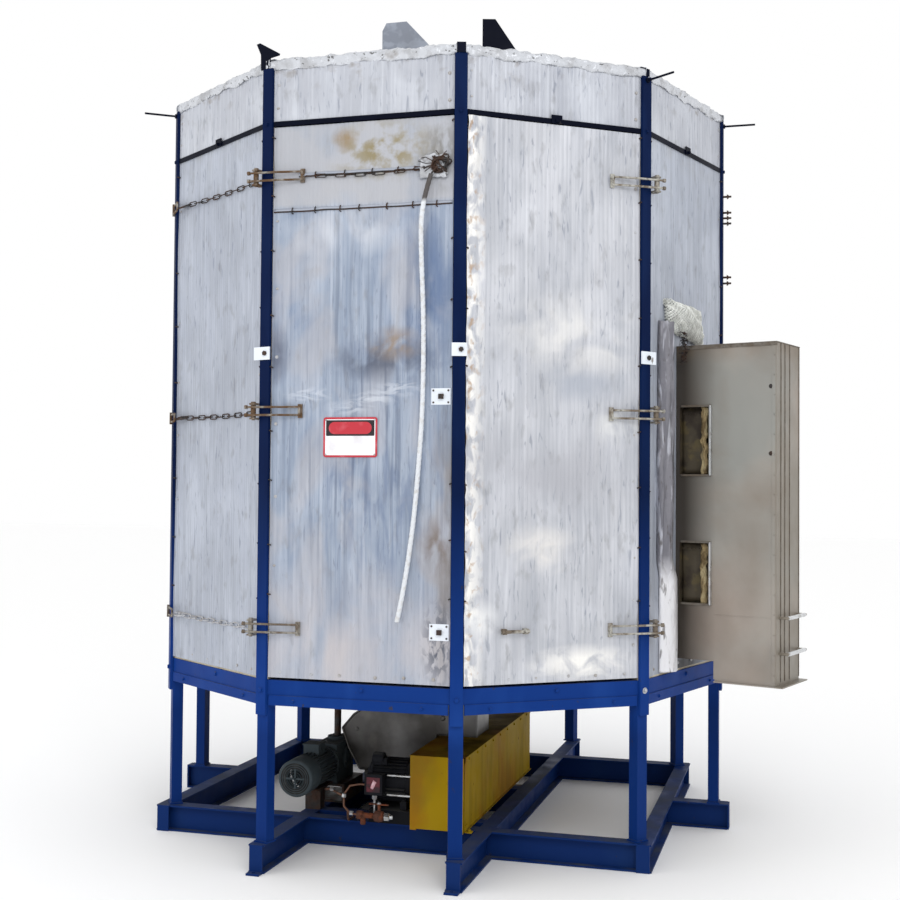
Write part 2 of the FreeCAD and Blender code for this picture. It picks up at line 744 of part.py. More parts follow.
def door_straps(prefix, hand, turn):
    straps = [strap_bars("%s_strap_%d" % (prefix, number), hand, level) for number,
              level in enumerate(LEVEL_CLAMPS)]
    finish(prefix + "_door_straps", group(prefix + "_straps", straps, spin(turn)))


def hinge_bracket(name, hand, level):
    """A pin between two lugs on the side of the post."""
    pivot = hinge_place(hand)
    at_post = spin(18 * hand)
    gap = cell("eye_half") + 1
    thick = 8
    side = cell("hinge_side")
    reach = cell("post_wide") / 2
    low_side, high_side = sorted((hand * reach, hand * (side + 13)))
    lugs = []
    for base in (level - gap - thick, level + gap):
        lug = Part.makeBox(high_side - low_side, 49, thick, Vector(low_side, -cell("hinge_out") - 13, base))
        lug.Placement = at_post.multiply(lug.Placement)
        lugs.append(lug)
    pin = Part.makeCylinder(cell("pin_radius"), 2 * (gap + thick) + 8,
                            Vector(pivot.x, pivot.y, level - gap - thick - 4))
    cap = Part.makeCylinder(cell("pin_radius") + 4, 6, Vector(pivot.x, pivot.y, level + gap + thick))
    bracket = doc.addObject("Part::Feature", name)
    bracket.Shape = pin.fuse(lugs + [cap]).removeSplitter()
    return bracket


def post_brackets():
    """Hinge brackets of both doors, the keepers of the latches, and the chain clamps of the far left post."""
    things = []
    for prefix, hand, turn in (("left", -1, LEFT_DOOR), ("right", 1, RIGHT_DOOR)):
        for number, level in enumerate(LEVEL_CLAMPS):
            bracket = hinge_bracket("%s_bracket_%d" % (prefix, number), hand, level)
            things.append(group("%s_hinge_%d" % (prefix, number), [bracket], spin(turn)))
    for number, level in enumerate(LEVEL_LATCHES):
        tall = (str(level - 45), str(level + 45))
        things.append(fused("keeper_%d" % number, [
            span("keeper_foot_%d" % number, ("414", "430"), ("-1333", "-1327"), tall),
            span("keeper_lip_%d" % number, ("414", "419"), ("-1327", "-1291.5"), tall),
        ]))
    for number, level in enumerate(LEVEL_CLAMPS):
        bars = []
        for sign in (-1, 1):
            height = level + sign * cell("strap_half")
            bars.append(rod("clamp_bar_%d_%d" % (number, sign + 1), "5", "118",
                            ("-20", "-post_circle - 5", str(height)), "x"))
        bars.append(rod("clamp_bow_%d" % number, "5", "2*strap_half",
                        ("98", "-post_circle - 5", str(level - cell("strap_half")))))
        bars.append(span("clamp_pad_%d" % number, ("-28", "-12"), ("-post_circle - 12", "-post_circle"),
                         (str(level - 30), str(level + 30))))
        things.append(group("clamp_%d" % number, [fused("clamp_solid_%d" % number, bars)],
                            spin(POST_FAR_LEFT)))
    finish("post_brackets", group("post_brackets", things))


def tie_chains():
    """The run of each chain, as a plain round bar: three taut on the face left of the door, one on the door."""
    lines = []
    depth = -cell("wall_face") - 14
    for number, level in enumerate(LEVEL_CLAMPS):
        start = Vector(-330, depth - 12, level - 4)
        end = Vector(372, depth, level - 6)
        chain = doc.addObject("Part::Feature", "chain_line_%d" % number)
        chain.Shape = Part.makeCylinder(7, (end - start).Length, start, end - start)
        lines.append(group("chain_on_face_%d" % number, [chain], spin(CHAIN_FACE)))
    finish("tie_chains", group("tie_chains", lines))
    depth = -cell("wall_face") - 12
    level = LEVEL_CLAMPS[2]
    start = Vector(-262, depth, level - 2)
    middle = Vector(40, depth, level - 12)
    end = Vector(313, depth, level + 4)
    line = Part.makeCylinder(7, (middle - start).Length, start, middle - start)
    line = line.fuse([Part.makeSphere(7, middle), Part.makeCylinder(7, (end - middle).Length, middle,
                                                                    end - middle)])
    door_chain = doc.addObject("Part::Feature", "door_chain_line")
    door_chain.Shape = line.removeSplitter()
    finish("door_chain", door_chain)


def latch(name, level):
    """A quarter-turn latch: a square head outside, and a cam that swings behind the post."""
    front = cell("wall_face")
    head = span(name + "_head", ("latch_line - 11", "latch_line + 11"),
                (str(-front - 16), str(-front - 6.5)),
                (str(level - 11), str(level + 11)))
    spindle = rod(name + "_spindle", "8", "wool + sheet + 18", ("latch_line", str(-front - 7), str(level)),
                  "y")
    cam = span(name + "_cam", ("latch_line - 8", "latch_line + 8"),
               ("-wall_face + sheet + wool + liner + 2", "-wall_face + sheet + wool + liner + 8"),
               (str(level - 46), str(level + 12)))
    finish(name, fused(name, [head, spindle, cam]))


def door_furniture():
    """Latch plates, the blank sign and the wire knot of the left door; the right door's handle."""
    plates = []
    for number, level in enumerate(LEVEL_LATCHES):
        plate = span("latch_plate_%d" % number, ("330", "418"), ("-wall_face - 4", "-wall_face"),
                     (str(level - 36), str(level + 36)))
        hole = rod("latch_hole_%d" % number, "8.06", "8", ("latch_line", "-wall_face - 6", str(level)), "y")
        plates.append(cut("latch_guide_%d" % number, plate, hole))
    finish("latch_plates", group("latch_plates", plates))
    latch("upper_latch", LEVEL_LATCHES[0])
    latch("lower_latch", LEVEL_LATCHES[1])
    sign = span("sign", ("-171", "83"), ("-wall_face - 3", "-wall_face - 0.5"), ("1859", "2037"))
    finish("sign_plate", fused("sign_plate", [sign, rod("sign_rivet", "4", "3",
                                                        ("-44", "-wall_face - 3", "2024"), "y")]))
    knot = doc.addObject("Part::Ellipsoid", "wire_knot")
    knot.Radius1 = 52
    knot.Radius2 = 50
    knot.Radius3 = 20
    knot.Placement = Placement(Vector(368, -cell("wall_face") - 20.5, 3140), Rotation())
    finish("wire_knot", knot)
    grip_depth = "-wall_face - 26"
    handle = fused("handle_grip", [
        rod("grip_bar", "8", "130", ("-252", grip_depth, "1100"), "x"),
        span("grip_left_foot", ("-248", "-228"), (grip_depth, "-wall_face"), ("1088", "1112")),
        span("grip_right_foot", ("-146", "-126"), (grip_depth, "-wall_face"), ("1088", "1112")),
    ])
    finish("door_handle", group("door_handle", [handle], spin(RIGHT_DOOR)))


# The rope's route down the door, from the wire knot to its cut end.
ROPE_POINTS = [
    (330, -1428, 3096), (305, -1430, 3020), (283, -1424, 2900), (286, -1419, 2720), (296, -1416, 2500),
    (298, -1414, 2260), (294, -1414, 2040), (281, -1416, 1830), (264, -1417, 1620), (238, -1418, 1410),
    (206, -1420, 1220), (188, -1421, 1140),
]
ROPE_RADIUS = 11


def tube_along(name, points, radius):
    """A tube of straight runs joined by tangent arcs, each as large as its two runs allow."""
    corners = [Vector(*point) for point in points]
    edges = []
    start = corners[0]
    for before, corner, after in zip(corners, corners[1:], corners[2:]):
        back = (before - corner).normalize()
        ahead = (after - corner).normalize()
        shorter = min((before - corner).Length, (after - corner).Length)
        reach = 0.45 * shorter
        half_turn = (math.pi - back.getAngle(ahead)) / 2
        bend = reach / math.tan(half_turn)
        print("%s bend radius %.0f mm" % (name, bend))
        enter = corner + back * reach
        leave = corner + ahead * reach
        bisector = (back + ahead).normalize()
        centre = corner + bisector * (bend / math.cos(half_turn))
        edges.append(Part.LineSegment(start, enter).toShape())
        edges.append(Part.Arc(enter, centre - bisector * bend, leave).toShape())
        start = leave
    edges.append(Part.LineSegment(start, corners[-1]).toShape())
    path = Part.Wire(edges)
    ring = Part.Wire([Part.Circle(corners[0], corners[1] - corners[0], radius).toShape()])
    solid = path.makePipeShell([ring], True, False)
    print("%s length %.0f mm, volume ratio %.4f" % (name, path.Length,
                                                    solid.Volume / (math.pi * radius ** 2 * path.Length)))
    piece = doc.addObject("Part::Feature", name)
    piece.Shape = solid
    return finish(name, piece)


# ---------------------------------------------------------------- heater duct on the right


def duct_layer(name, inset, thick, near, open_access=False, closed_near=True):
    """One layer of the stepped duct, boxed up from flat pieces round its access holes and air ports."""
    front, back = "duct_front + %s" % inset, "duct_back - %s" % inset
    far, step, near_face = "-(duct_far - %s)" % inset, "-(duct_step + %s)" % inset, "-(%s)" % near
    low, ledge, top = "duct_low + %s" % inset, "duct_ledge + %s" % inset, "duct_top - %s" % inset
    low_in, ledge_in, top_in = low + " + " + thick, ledge + " + " + thick, top + " - " + thick
    far_in, step_in, near_in = far + " + " + thick, step + " - " + thick, near_face + " - " + thick
    front_plate, back_plate = (front, front + " + " + thick), (back + " - " + thick, back)
    inside = (front_plate[1], back_plate[0])
    limits = [
        (front_plate, (far, step), (low, top)),
        (back_plate, (far, step), (low, top)),
        (back_plate, (step, near_face), (ledge, top)),
        (inside, (far, far_in), (low, top)),
        (inside, (far_in, near_face), (top_in, top)),
        (inside, (far_in, step), (low, low_in)),
        (inside, (step_in, step), (low_in, ledge_in)),
        (inside, (step, near_face), (ledge, ledge_in)),
    ]
    if open_access:
        limits += [
            (front_plate, (step, "-access_far"), (ledge, top)),
            (front_plate, ("-access_near", near_face), (ledge, top)),
        ]
        for gap in ((ledge, "low_access_foot"), ("low_access_head", "high_access_foot"),
                    ("high_access_head", top)):
            limits.append((front_plate, ("-access_far", "-access_near"), gap))
    else:
        limits.append((front_plate, (step, near_face), (ledge, top)))
    if closed_near:
        wall = (near_in, near_face)
        limits += [
            ((inside[0], "port_left"), wall, (ledge_in, top_in)),
            (("port_right", inside[1]), wall, (ledge_in, top_in)),
        ]
        for gap in ((ledge_in, "low_port_foot"), ("low_port_head", "high_port_foot"),
                    ("high_port_head", top_in)):
            limits.append((("port_left", "port_right"), wall, gap))
    return plates(name, limits)


def side_duct():
    turn = spin(DUCT_FACE)
    wool_inside = "(duct_sheet + duct_wool)"
    casing = duct_layer("casing", "0", "duct_sheet", "duct_near", open_access=True, closed_near=False)
    rims = plates("access_rim", [
        (("duct_front - 18", "duct_front"), ("-access_far - 4", "-access_far"),
         (name + "_access_foot", name + "_access_head"))
        for name in ("low", "high")
    ])
    clear_across = ("duct_front + 20", "duct_back - 20")
    clear_deep = ("20 - duct_far", "-duct_step - 30")
    flange = ring_of_bars("flange", ("duct_front - 12", "duct_back + 24"),
                          ("-duct_far - 34", "-duct_step - 4"),
                          ("duct_low - 14", "duct_low - 8"), clear_across, clear_deep)
    collar = ring_of_bars("collar", ("duct_front", "duct_back"), ("-duct_far", "-duct_step - 6"),
                          ("duct_low - 8", "duct_low"), clear_across, clear_deep)
    handles = []
    for number, level in enumerate((1140, 975)):
        out = "-duct_far - 38"
        handles.append(fused("duct_handle_%d" % number, [
            rod("handle_bar_%d" % number, "7", "250", ("-62", out, str(level)), "x"),
            rod("handle_left_%d" % number, "7", "38", ("-55", out, str(level)), "y"),
            rod("handle_right_%d" % number, "7", "38", ("181", out, str(level)), "y"),
        ]))
    finish("duct_casing", group("duct_casing", casing + rims + flange + collar + handles, turn))
    wool = duct_layer("duct_wool", "duct_sheet", "duct_wool", "duct_near", open_access=True)
    finish("duct_insulation", group("duct_insulation", wool, turn))
    inner = duct_layer("inner_duct", wool_inside, "duct_liner", "duct_near + duct_wool")
    finish("inner_duct", group("inner_duct", inner, turn))
    frame = cut("heater_frame", span("heater_plate", ("duct_front + 58", "duct_back - 58"),
                                     ("-1812", "-1630"), ("1500", "1512")),
                span("heater_gap", ("duct_front + 80", "duct_back - 80"), ("-1795", "-1650"),
                     ("1490", "1520")))
    rods = []
    for row in range(3):
        for column in range(4):
            place = (str(-5 + 38 * column), str(-1680 - 45 * row), "1100")
            rods.append(rod("element_%d_%d" % (row, column), "6", "400", place))
    finish("heater_bank", group("heater_bank", [frame] + rods, turn))
    wrap = fused("foil_roll", [
        span("foil_upper", ("-322", "-185"), ("-wall_face - 62", "-wall_face"), ("1700", "2520")),
        span("foil_lower", ("-296", "-125"), ("-wall_face - 58", "-wall_face"), ("872", "1700")),
    ])
    finish("foil_wrap", group("foil_wrap", [wrap], turn))
    mesh_depth = ("-wall_face - 70", "-wall_face")
    bundle = fused("mesh_bundle", [
        span("mesh_upper", ("-270", "165"), mesh_depth, ("2522", "2630")),
        span("mesh_middle", ("-182", "150"), mesh_depth, ("2420", "2522")),
        span("mesh_tail", ("-182", "-104"), mesh_depth, ("2310", "2420")),
    ])
    finish("mesh_wrap", group("mesh_wrap", [bundle], turn))


# ---------------------------------------------------------------- air plenum, fan and belt drive


def air_plenum():
    """The stainless intake under the floor, and the inlet box that leads from it to the fan."""
    outline = [(-60, 742), (-351, 552), (-411, 481), (-377, 384), (-315, 278), (60, 278), (96, 384),
               (96, 474), (306, 474), (306, 600), (140, 742)]
    inner = [(-59, 739), (-347, 550), (-407, 481), (-373, 386), (-312, 281), (58, 281), (93, 385),
             (93, 477), (303, 477), (303, 598), (139, 739)]
    outside = padded("plenum_outside", outline, "240", Placement(Vector(0, -230, 0),
                                                                 Rotation(Vector(1, 0, 0), 90)))
    inside = padded("plenum_inside", inner, "234", Placement(Vector(0, -233, 0),
                                                             Rotation(Vector(1, 0, 0), 90)))
    mouth = span("plenum_mouth", ("-54", "134"), ("-464", "-236"), ("735", "800"))
    way = span("plenum_way", ("-372", "-268"), ("-240", "-220"), ("400", "500"))
    shell = cut("plenum_shell", cut("plenum_hollow", outside, inside),
                fused("plenum_openings", [mouth, way]))
    box = span("inlet_block", ("-375", "-264"), ("-229.5", "fan_line + 150"),
               ("drive_level - 130", "drive_level + 190"))
    hollow = span("inlet_hollow", ("-372", "-264"), ("-226.5", "fan_line + 147"),
                  ("drive_level - 127", "drive_level + 187"))
    front_way = span("inlet_way", ("-372", "-268"), ("-240", "-220"), ("400", "500"))
    inlet = cut("inlet_shell", box, fused("inlet_openings", [hollow, front_way]))
    finish("air_plenum", group("air_plenum", [shell, inlet]))


def fan_housing():
    """A scroll round the wheel, with its outlet up through the kiln's floor."""
    outside = fused("scroll_outside", [
        rod("scroll_drum", "185", "240", ("-260", "fan_line", "drive_level"), "x"),
        span("scroll_neck", ("-260", "-20"), ("290", "fan_line + 185"), ("drive_level", "ring_split")),
    ])
    inside = fused("scroll_inside", [
        rod("scroll_drum_inside", "182", "234", ("-257", "fan_line", "drive_level"), "x"),
        span("scroll_neck_inside", ("-257", "-23"), ("293", "fan_line + 182"),
             ("drive_level", "ring_split + 1")),
    ])
    eye = rod("scroll_eye", "110", "20", ("-270", "fan_line", "drive_level"), "x")
    shaft_way = rod("scroll_shaft_way", "shaft_radius + 3", "20", ("-30", "fan_line", "drive_level"), "x")
    shell = cut("scroll_shell", outside, fused("scroll_openings", [inside, eye, shaft_way]))
    finish("fan_housing", shell)


def fan_wheel():
    """A backward-bladed wheel on its shaft."""
    line = ("fan_line", "drive_level")
    plate = rod("wheel_plate", "fan_radius", "6", ("-60",) + line, "x")
    hub = rod("wheel_hub", "45", "70", ("-124",) + line, "x")
    front = cut("wheel_front", rod("wheel_ring", "fan_radius", "5", ("-215",) + line, "x"),
                rod("wheel_mouth", "105", "5", ("-215",) + line, "x"))
    blades = []
    for number in range(12):
        blade = Part.makeBox(157, 4, 62, Vector(-212, -2, 84))
        blade.rotate(Vector(-212, 0, 84), Vector(1, 0, 0), 28)
        blade.rotate(Vector(), Vector(1, 0, 0), 30 * number)
        blade.translate(Vector(0, cell("fan_line"), cell("drive_level")))
        blades.append(blade)
    wheel = Part.makeCompound(blades)
    blade_set = doc.addObject("Part::Feature", "wheel_blades")
    blade_set.Shape = wheel
    body = fused("wheel_body", [plate, hub, front, blade_set])
    limit = rod("wheel_limit", "fan_radius", "200", ("-240",) + line, "x")
    trimmed = doc.addObject("Part::Common", "wheel_trimmed")
    trimmed.Base = body
    trimmed.Tool = limit
    bored = cut("wheel_bored", trimmed, rod("wheel_bore", "shaft_radius", "200", ("-240",) + line, "x"))
    shaft = rod("fan_spindle", "shaft_radius", "410", ("-130",) + line, "x")
    finish("fan_wheel", group("fan_wheel", [bored, shaft]))


def grooved_wheel(name, radius, bore, at_y):
    """A belt wheel with three vee grooves, its middle on the belts' line."""
    half = 36
    outline = [(bore, -half), (radius, -half)]
    for groove in (-1, 0, 1):
        middle = 22 * groove
        outline += [(radius, middle - 8), (radius - 13, middle - 4), (radius - 13, middle + 4),
                    (radius, middle + 8)]
    outline += [(radius, half), (bore, half)]
    upright = Placement(Vector(cell("pulley_mid"), at_y, cell("drive_level")),
                        Rotation(Vector(0, 1, 0), 90))
    return revolved(name, outline, upright)


def belt_drive():
    drive = grooved_wheel("drive_wheel", cell("drive_pulley"), 14, cell("motor_line"))
    shaft = rod("motor_spindle", "14", "350", ("-78", "motor_line", "drive_level"), "x")
    finish("drive_pulley", group("drive_pulley", [drive, shaft]))
    finish("driven_pulley", grooved_wheel("driven_wheel", cell("driven_pulley"), cell("shaft_radius"),
                                          cell("fan_line")))
    distance = cell("fan_line") - cell("motor_line")
    belts = []
    for groove in (-1, 0, 1):
        place = Placement(Vector(cell("pulley_mid") + 22 * groove - 3, cell("motor_line"),
                                 cell("drive_level")),
                          Rotation(Vector(1, 1, 1), 120))
        belts.append(loop_band("belt_%d" % (groove + 1), cell("drive_pulley") - 12,
                               cell("driven_pulley") - 12, distance, 11, 6, place))
    finish("drive_belts", group("drive_belts", belts))


def belt_guard():
    """A yellow sheet-metal box over both pulleys and the belts, on four small feet."""
    inner_left, inner_right = "guard_left + guard_sheet", "guard_right - guard_sheet"
    inner_front, inner_back = "guard_front + guard_sheet", "guard_back - guard_sheet"
    inside = (inner_left, inner_right)
    tall = ("guard_low", "guard_top")
    side_plate = ("guard_left", inner_left)
    motor_slot = ("motor_line - guard_way", "motor_line + guard_way")
    fan_slot = ("fan_line - guard_way", "fan_line + guard_way")
    below, above = ("guard_low", "drive_level - guard_way"), ("drive_level + guard_way", "guard_top")
    limits = [
        ((inner_right, "guard_right"), ("guard_front", "guard_back"), tall),
        (inside, ("guard_front", inner_front), tall),
        (inside, (inner_back, "guard_back"), tall),
        (inside, (inner_front, inner_back), ("guard_top - guard_sheet", "guard_top")),
        (inside, (inner_front, inner_back), ("guard_low", "guard_low + guard_sheet")),
        (side_plate, ("guard_front", motor_slot[0]), tall),
        (side_plate, (motor_slot[1], fan_slot[0]), tall),
        (side_plate, (fan_slot[1], "guard_back"), tall),
    ]
    limits += [(side_plate, slot, part) for slot in (motor_slot, fan_slot) for part in (below, above)]
    shell = plates("guard_sheet_metal", limits)
    feet = []
    for number, (x, y) in enumerate((("guard_left", "guard_front"),
                                     ("guard_right - 30", "guard_front - 12"),
                                     ("guard_left", "guard_back - 40"), ("guard_right - 30",
                                                                         "guard_back - 40"))):
        feet.append(span("guard_foot_%d" % number, (x, x + " + 30"), (y, y + " + 40"),
                         ("beam_high", "guard_low")))
    finish("belt_guard", group("belt_guard", shell + feet))


def bearings():
    """Pillow blocks of the fan shaft on a pedestal, and the foot bearing of the turntable's shaft."""
    things = []
    for number, x in enumerate(("8", "70")):
        block = span("pillow_%d" % number, (x, x + " + 34"), ("fan_line - 55", "fan_line + 55"),
                     ("drive_level - 50", "drive_level + 12"))
        crown = rod("pillow_crown_%d" % number, "46", "34", (x, "fan_line", "drive_level"), "x")
        bore = rod("pillow_bore_%d" % number, "shaft_radius + 0.05", "34", (x, "fan_line", "drive_level"),
                   "x")
        things.append(cut("pillow_block_%d" % number, fused("pillow_body_%d" % number, [block, crown]),
                          bore))
    things.append(span("pedestal", ("0", "108"), ("fan_line - 60", "fan_line + 60"),
                       ("77", "drive_level - 50")))
    things.append(span("pedestal_rail", ("-side/2 + beam_wide/2", "side/2 - beam_wide/2"),
                       ("fan_line - 40", "fan_line + 40"), ("20", "77")))
    foot = cut("foot_bearing", rod("foot_block", "75", "90", ("0", "0", "beam_high")),
               rod("foot_bore", "table_shaft + 0.05", "84", ("0", "0", "beam_high + 6")))
    collar = cut("collar_bearing", rod("collar_block_round", "70", "40", ("0", "0", "ring_split - 45")),
                 rod("collar_bore", "table_shaft + 0.05", "40", ("0", "0", "ring_split - 45")))
    finish("bearings", group("bearings", things + [foot, collar]))


def fan_motor():
    """A finned motor across the kiln, its terminal box in front and its foot on the base."""
    body = [(0, -124), (88, -124), (96, -112), (105, -100), (105, 92), (96, 106), (86, 112), (0, 112)]
    upright = Placement(Vector(-8, cell("motor_line"), cell("drive_level")), Rotation(Vector(0, 1, 0), 90))
    stator = fused("motor_case", [
        revolved("motor_stator", body, upright),
        span("terminal_box", ("-116", "-34"), ("motor_line - 152", "motor_line - 98"),
             ("drive_level - 46", "drive_level + 44")),
        span("motor_foot", ("-100", "84"), ("motor_line - 95", "motor_line + 95"),
             ("drive_level - 126", "drive_level - 96")),
    ])
    riser = span("motor_riser", ("-110", "94"), ("motor_line - 110", "motor_line + 110"),
                 ("beam_high", "drive_level - 126"))
    rail = span("motor_rail", ("-side/2 + beam_wide/2", "side/2 - beam_wide/2"),
                ("motor_line + 38", "motor_line + 110"),
                ("70", "beam_high"))
    bored = cut("motor_case_bored", stator, rod("motor_bore", "14.05", "270",
                                                ("-110", "motor_line", "drive_level"), "x"))
    finish("fan_motor", group("fan_motor", [bored, riser, rail]))


def pipe_fittings():
    """A condensate pipe with its valve, low in front of the motor."""
    pipe = Part.makeCylinder(13, 170, Vector(-140, -965, 172), Vector(1, 0, 0))
    elbow = Part.makeCylinder(13, 44, Vector(-120, -965, 128), Vector(0, 0, 1))
    body = Part.makeSphere(27, Vector(-40, -965, 172))
    union = Part.makeCylinder(20, 30, Vector(0, -965, 172), Vector(1, 0, 0))
    stem = Part.makeCylinder(7, 56, Vector(-40, -965, 172), Vector(0, 0, 1))
    lever = Part.makeBox(96, 16, 5, Vector(-48, -973, 226))
    valve = doc.addObject("Part::Feature", "valve_body")
    valve.Shape = pipe.fuse([elbow, body, union, stem, lever]).removeSplitter()
    finish("drain_valve", valve)


# ---------------------------------------------------------------- turntable and its drive


def gearmotor():
    """A motor along Y with its cowl in front, and a gearbox whose shaft rises to the chain."""
    x = cell("gear_x")
    level = cell("gear_level")
    lying = Rotation(Vector(1, 0, 0), -90)
    frame = [(0, 0), (74, 0), (80, 10), (80, 265), (70, 278), (0, 278)]
    motor = revolved("gear_motor_body", frame, Placement(Vector(x, -862, level), lying))
    cover = revolved("motor_cowl", [(81, 128), (90, 120), (90, 8), (82, 0), (46, 0), (46, 4), (80, 4),
                                    (86, 10), (86, 118), (80, 124)],
                     Placement(Vector(x, -992, level), lying))
    spokes = []
    for turn in (0, 90):
        bar = Part.makeBox(96, 3, 5, Vector(-48, 0.5, -2.5))
        bar.rotate(Vector(), Vector(0, 1, 0), turn)
        bar.translate(Vector(x, -992, level))
        spokes.append(bar)
    grille = doc.addObject("Part::Feature", "cowl_spokes")
    grille.Shape = spokes[0].fuse(spokes[1]).removeSplitter()
    box = span("gear_box", ("gear_x - 62", "gear_x + 58"), ("gear_y - 164", "gear_y + 80"),
               ("gear_level - 105", "gear_level + 90"))
    bore = rod("gear_box_bore", "18.05", "230", (str(x), "gear_y", "gear_level - 110"))
    junction = span("gear_junction", ("gear_x - 40", "gear_x + 40"), ("-790", "-700"),
                    ("gear_level + 78", "gear_level + 128"))
    case = fused("gear_motor_case", [motor, junction])
    finish("gearmotor", group("gearmotor", [case, fused("cowl_assembly", [cover, grille]),
                                            cut("gear_case", box, bore)]))
    blade_parts = [Part.makeCylinder(16, 30, Vector(0, -24, 0), Vector(0, 1, 0))]
    for number in range(6):
        blade = Part.makeBox(56, 22, 3, Vector(14, -22, -1.5))
        blade.rotate(Vector(), Vector(0, 1, 0), 60 * number)
        blade_parts.append(blade)
    fan = doc.addObject("Part::Feature", "cooling_blades")
    fan.Shape = blade_parts[0].fuse(blade_parts[1:]).removeSplitter()
    fan.Placement = Placement(Vector(x, -870, level), Rotation())
    finish("cooling_fan", fan)
    stand = [
        span("stand_top", ("gear_x - 105", "gear_x + 105"), ("gear_y - 180", "gear_y + 100"),
             ("gear_level - 117", "gear_level - 105")),
        span("stand_left", ("gear_x - 105", "gear_x - 93"), ("gear_y - 180", "gear_y + 100"),
             ("beam_high", "gear_level - 117")),
        span("stand_right", ("gear_x + 93", "gear_x + 105"), ("gear_y - 180", "gear_y + 100"),
             ("beam_high", "gear_level - 117")),
        span("stand_foot", ("gear_x - 105", "gear_x + 105"), ("gear_y - 180", "gear_y + 100"),
             ("beam_high", "beam_high + 10")),
        span("motor_cradle", ("gear_x - 60", "gear_x + 60"), ("-840", "-640"),
             ("gear_level - 90", "gear_level - 82")),
        span("cradle_leg", ("gear_x - 40", "gear_x + 40"), ("-760", "-700"),
             ("beam_high", "gear_level - 86")),
    ]
    finish("gear_stand", group("gear_stand", [fused("stand", stand[:4]), fused("cradle", stand[4:])]))


def table_drive():
    level = cell("sprocket_level")
    small_place = Placement(Vector(cell("gear_x"), cell("gear_y"), level), Rotation())
    pitch = 25.4
    small = toothed("small_sprocket", 12, pitch, "sprocket_thick", "18", small_place)
    shaft = rod("gear_spindle", "18", "sprocket_level + 30 - gear_level + 100",
                ("gear_x", "gear_y", "gear_level - 100"))
    finish("drive_sprocket", group("drive_sprocket", [small, shaft]))
    big = toothed("big_sprocket", 24, pitch, "sprocket_thick", "table_shaft",
                  Placement(Vector(0, 0, level), Rotation()))
    spindle = rod("table_spindle", "table_shaft", "table_level - beam_high - 6",
                  ("0", "0", "beam_high + 6"))
    finish("table_shaft", group("table_shaft_set", [big, spindle]))
    reach = math.hypot(cell("gear_x"), cell("gear_y"))
    heading = math.degrees(math.atan2(-cell("gear_y"), -cell("gear_x")))
    small_tip = pitch / 2 / math.sin(math.pi / 12) + 0.2 * pitch
    big_tip = pitch / 2 / math.sin(math.pi / 24) + 0.2 * pitch
    chain = loop_band("chain_band", small_tip, big_tip, reach, 12, 8,
                      Placement(Vector(cell("gear_x"), cell("gear_y"), level + 2),
                                Rotation(Vector(0, 0, 1), heading)))
    finish("drive_chain", chain)


def turntable():
    """A spoked steel carrier with a ceramic hearth of ten tiles on it."""
    hub = rod("table_hub", "140", "40", ("0", "0", "table_level"))
    rim = cut("table_rim", rod("rim_disc", "table_radius", "40", ("0", "0", "table_level")),
              rod("rim_hole", "table_radius - 60", "40", ("0", "0", "table_level")))
    spoke = span("spoke", ("-25", "25"), ("-table_radius + 20", "-100"),
                 ("table_level", "table_level + 40"))
    finish("turntable", fused("turntable", [hub, rim] + round_axis("spoke_at", spoke, FACES)))
    tile_outer = cell("table_radius") - 6
    half = math.radians(17.8)
    inner = 160
    outline = [(math.sin(angle) * radius, -math.cos(angle) * radius) for radius, angle in (
        (inner, -half), (tile_outer, -half), (tile_outer / math.cos(half / 2),
                                              -half / 2), (tile_outer / math.cos(half / 2), half / 2),
        (tile_outer, half), (inner, half))]
    tile = padded("tile", outline, "45", Placement(Vector(0, 0, cell("table_level") + 40), Rotation()))
    finish("hearth_tiles", group("hearth_tiles", round_axis("tile_at", tile, CORNERS)))


def build():
    base_beams()
    beam_end_plates()
    legs()
    ring_beam()
    corner_posts()
    band_bars()
    walls()
    kiln_floor()
    roof()
    vent_hood()
    roof_lugs()
    tie_rods()
    door_leaf("left", -1, LEFT_DOOR, LEVEL_LATCHES)
    door_leaf("right", 1, RIGHT_DOOR)
    door_straps("left", -1, LEFT_DOOR)
    door_straps("right", 1, RIGHT_DOOR)
    post_brackets()
    tie_chains()
    door_furniture()
    tube_along("pull_rope", ROPE_POINTS, ROPE_RADIUS)
    side_duct()
    air_plenum()
    fan_housing()
    fan_wheel()
    belt_drive()
    belt_guard()
    bearings()
    fan_motor()
    pipe_fittings()
    gearmotor()
    table_drive()
    turntable()
    doc.recompute()


def check_and_write():
    """Every feature has to be sound before any file is written."""
    faults = [thing.Name for thing in doc.Objects if {"Invalid", "Error"} & set(thing.State)]
    faults += [label for label, thing in nodes.items() if thing.Shape.isNull() or not thing.Shape.isValid()]
    if faults:
        raise RuntimeError("unsound features: " + ", ".join(faults))
    os.makedirs("parts", exist_ok=True)
    for label, thing in nodes.items():
        thing.Shape.exportStep("parts/%s.step" % label)
    print(len(nodes), "sub-parts written")


build()
check_and_write()
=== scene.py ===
import math
import random

import bmesh
import bpy
from mathutils import Matrix, Vector, noise


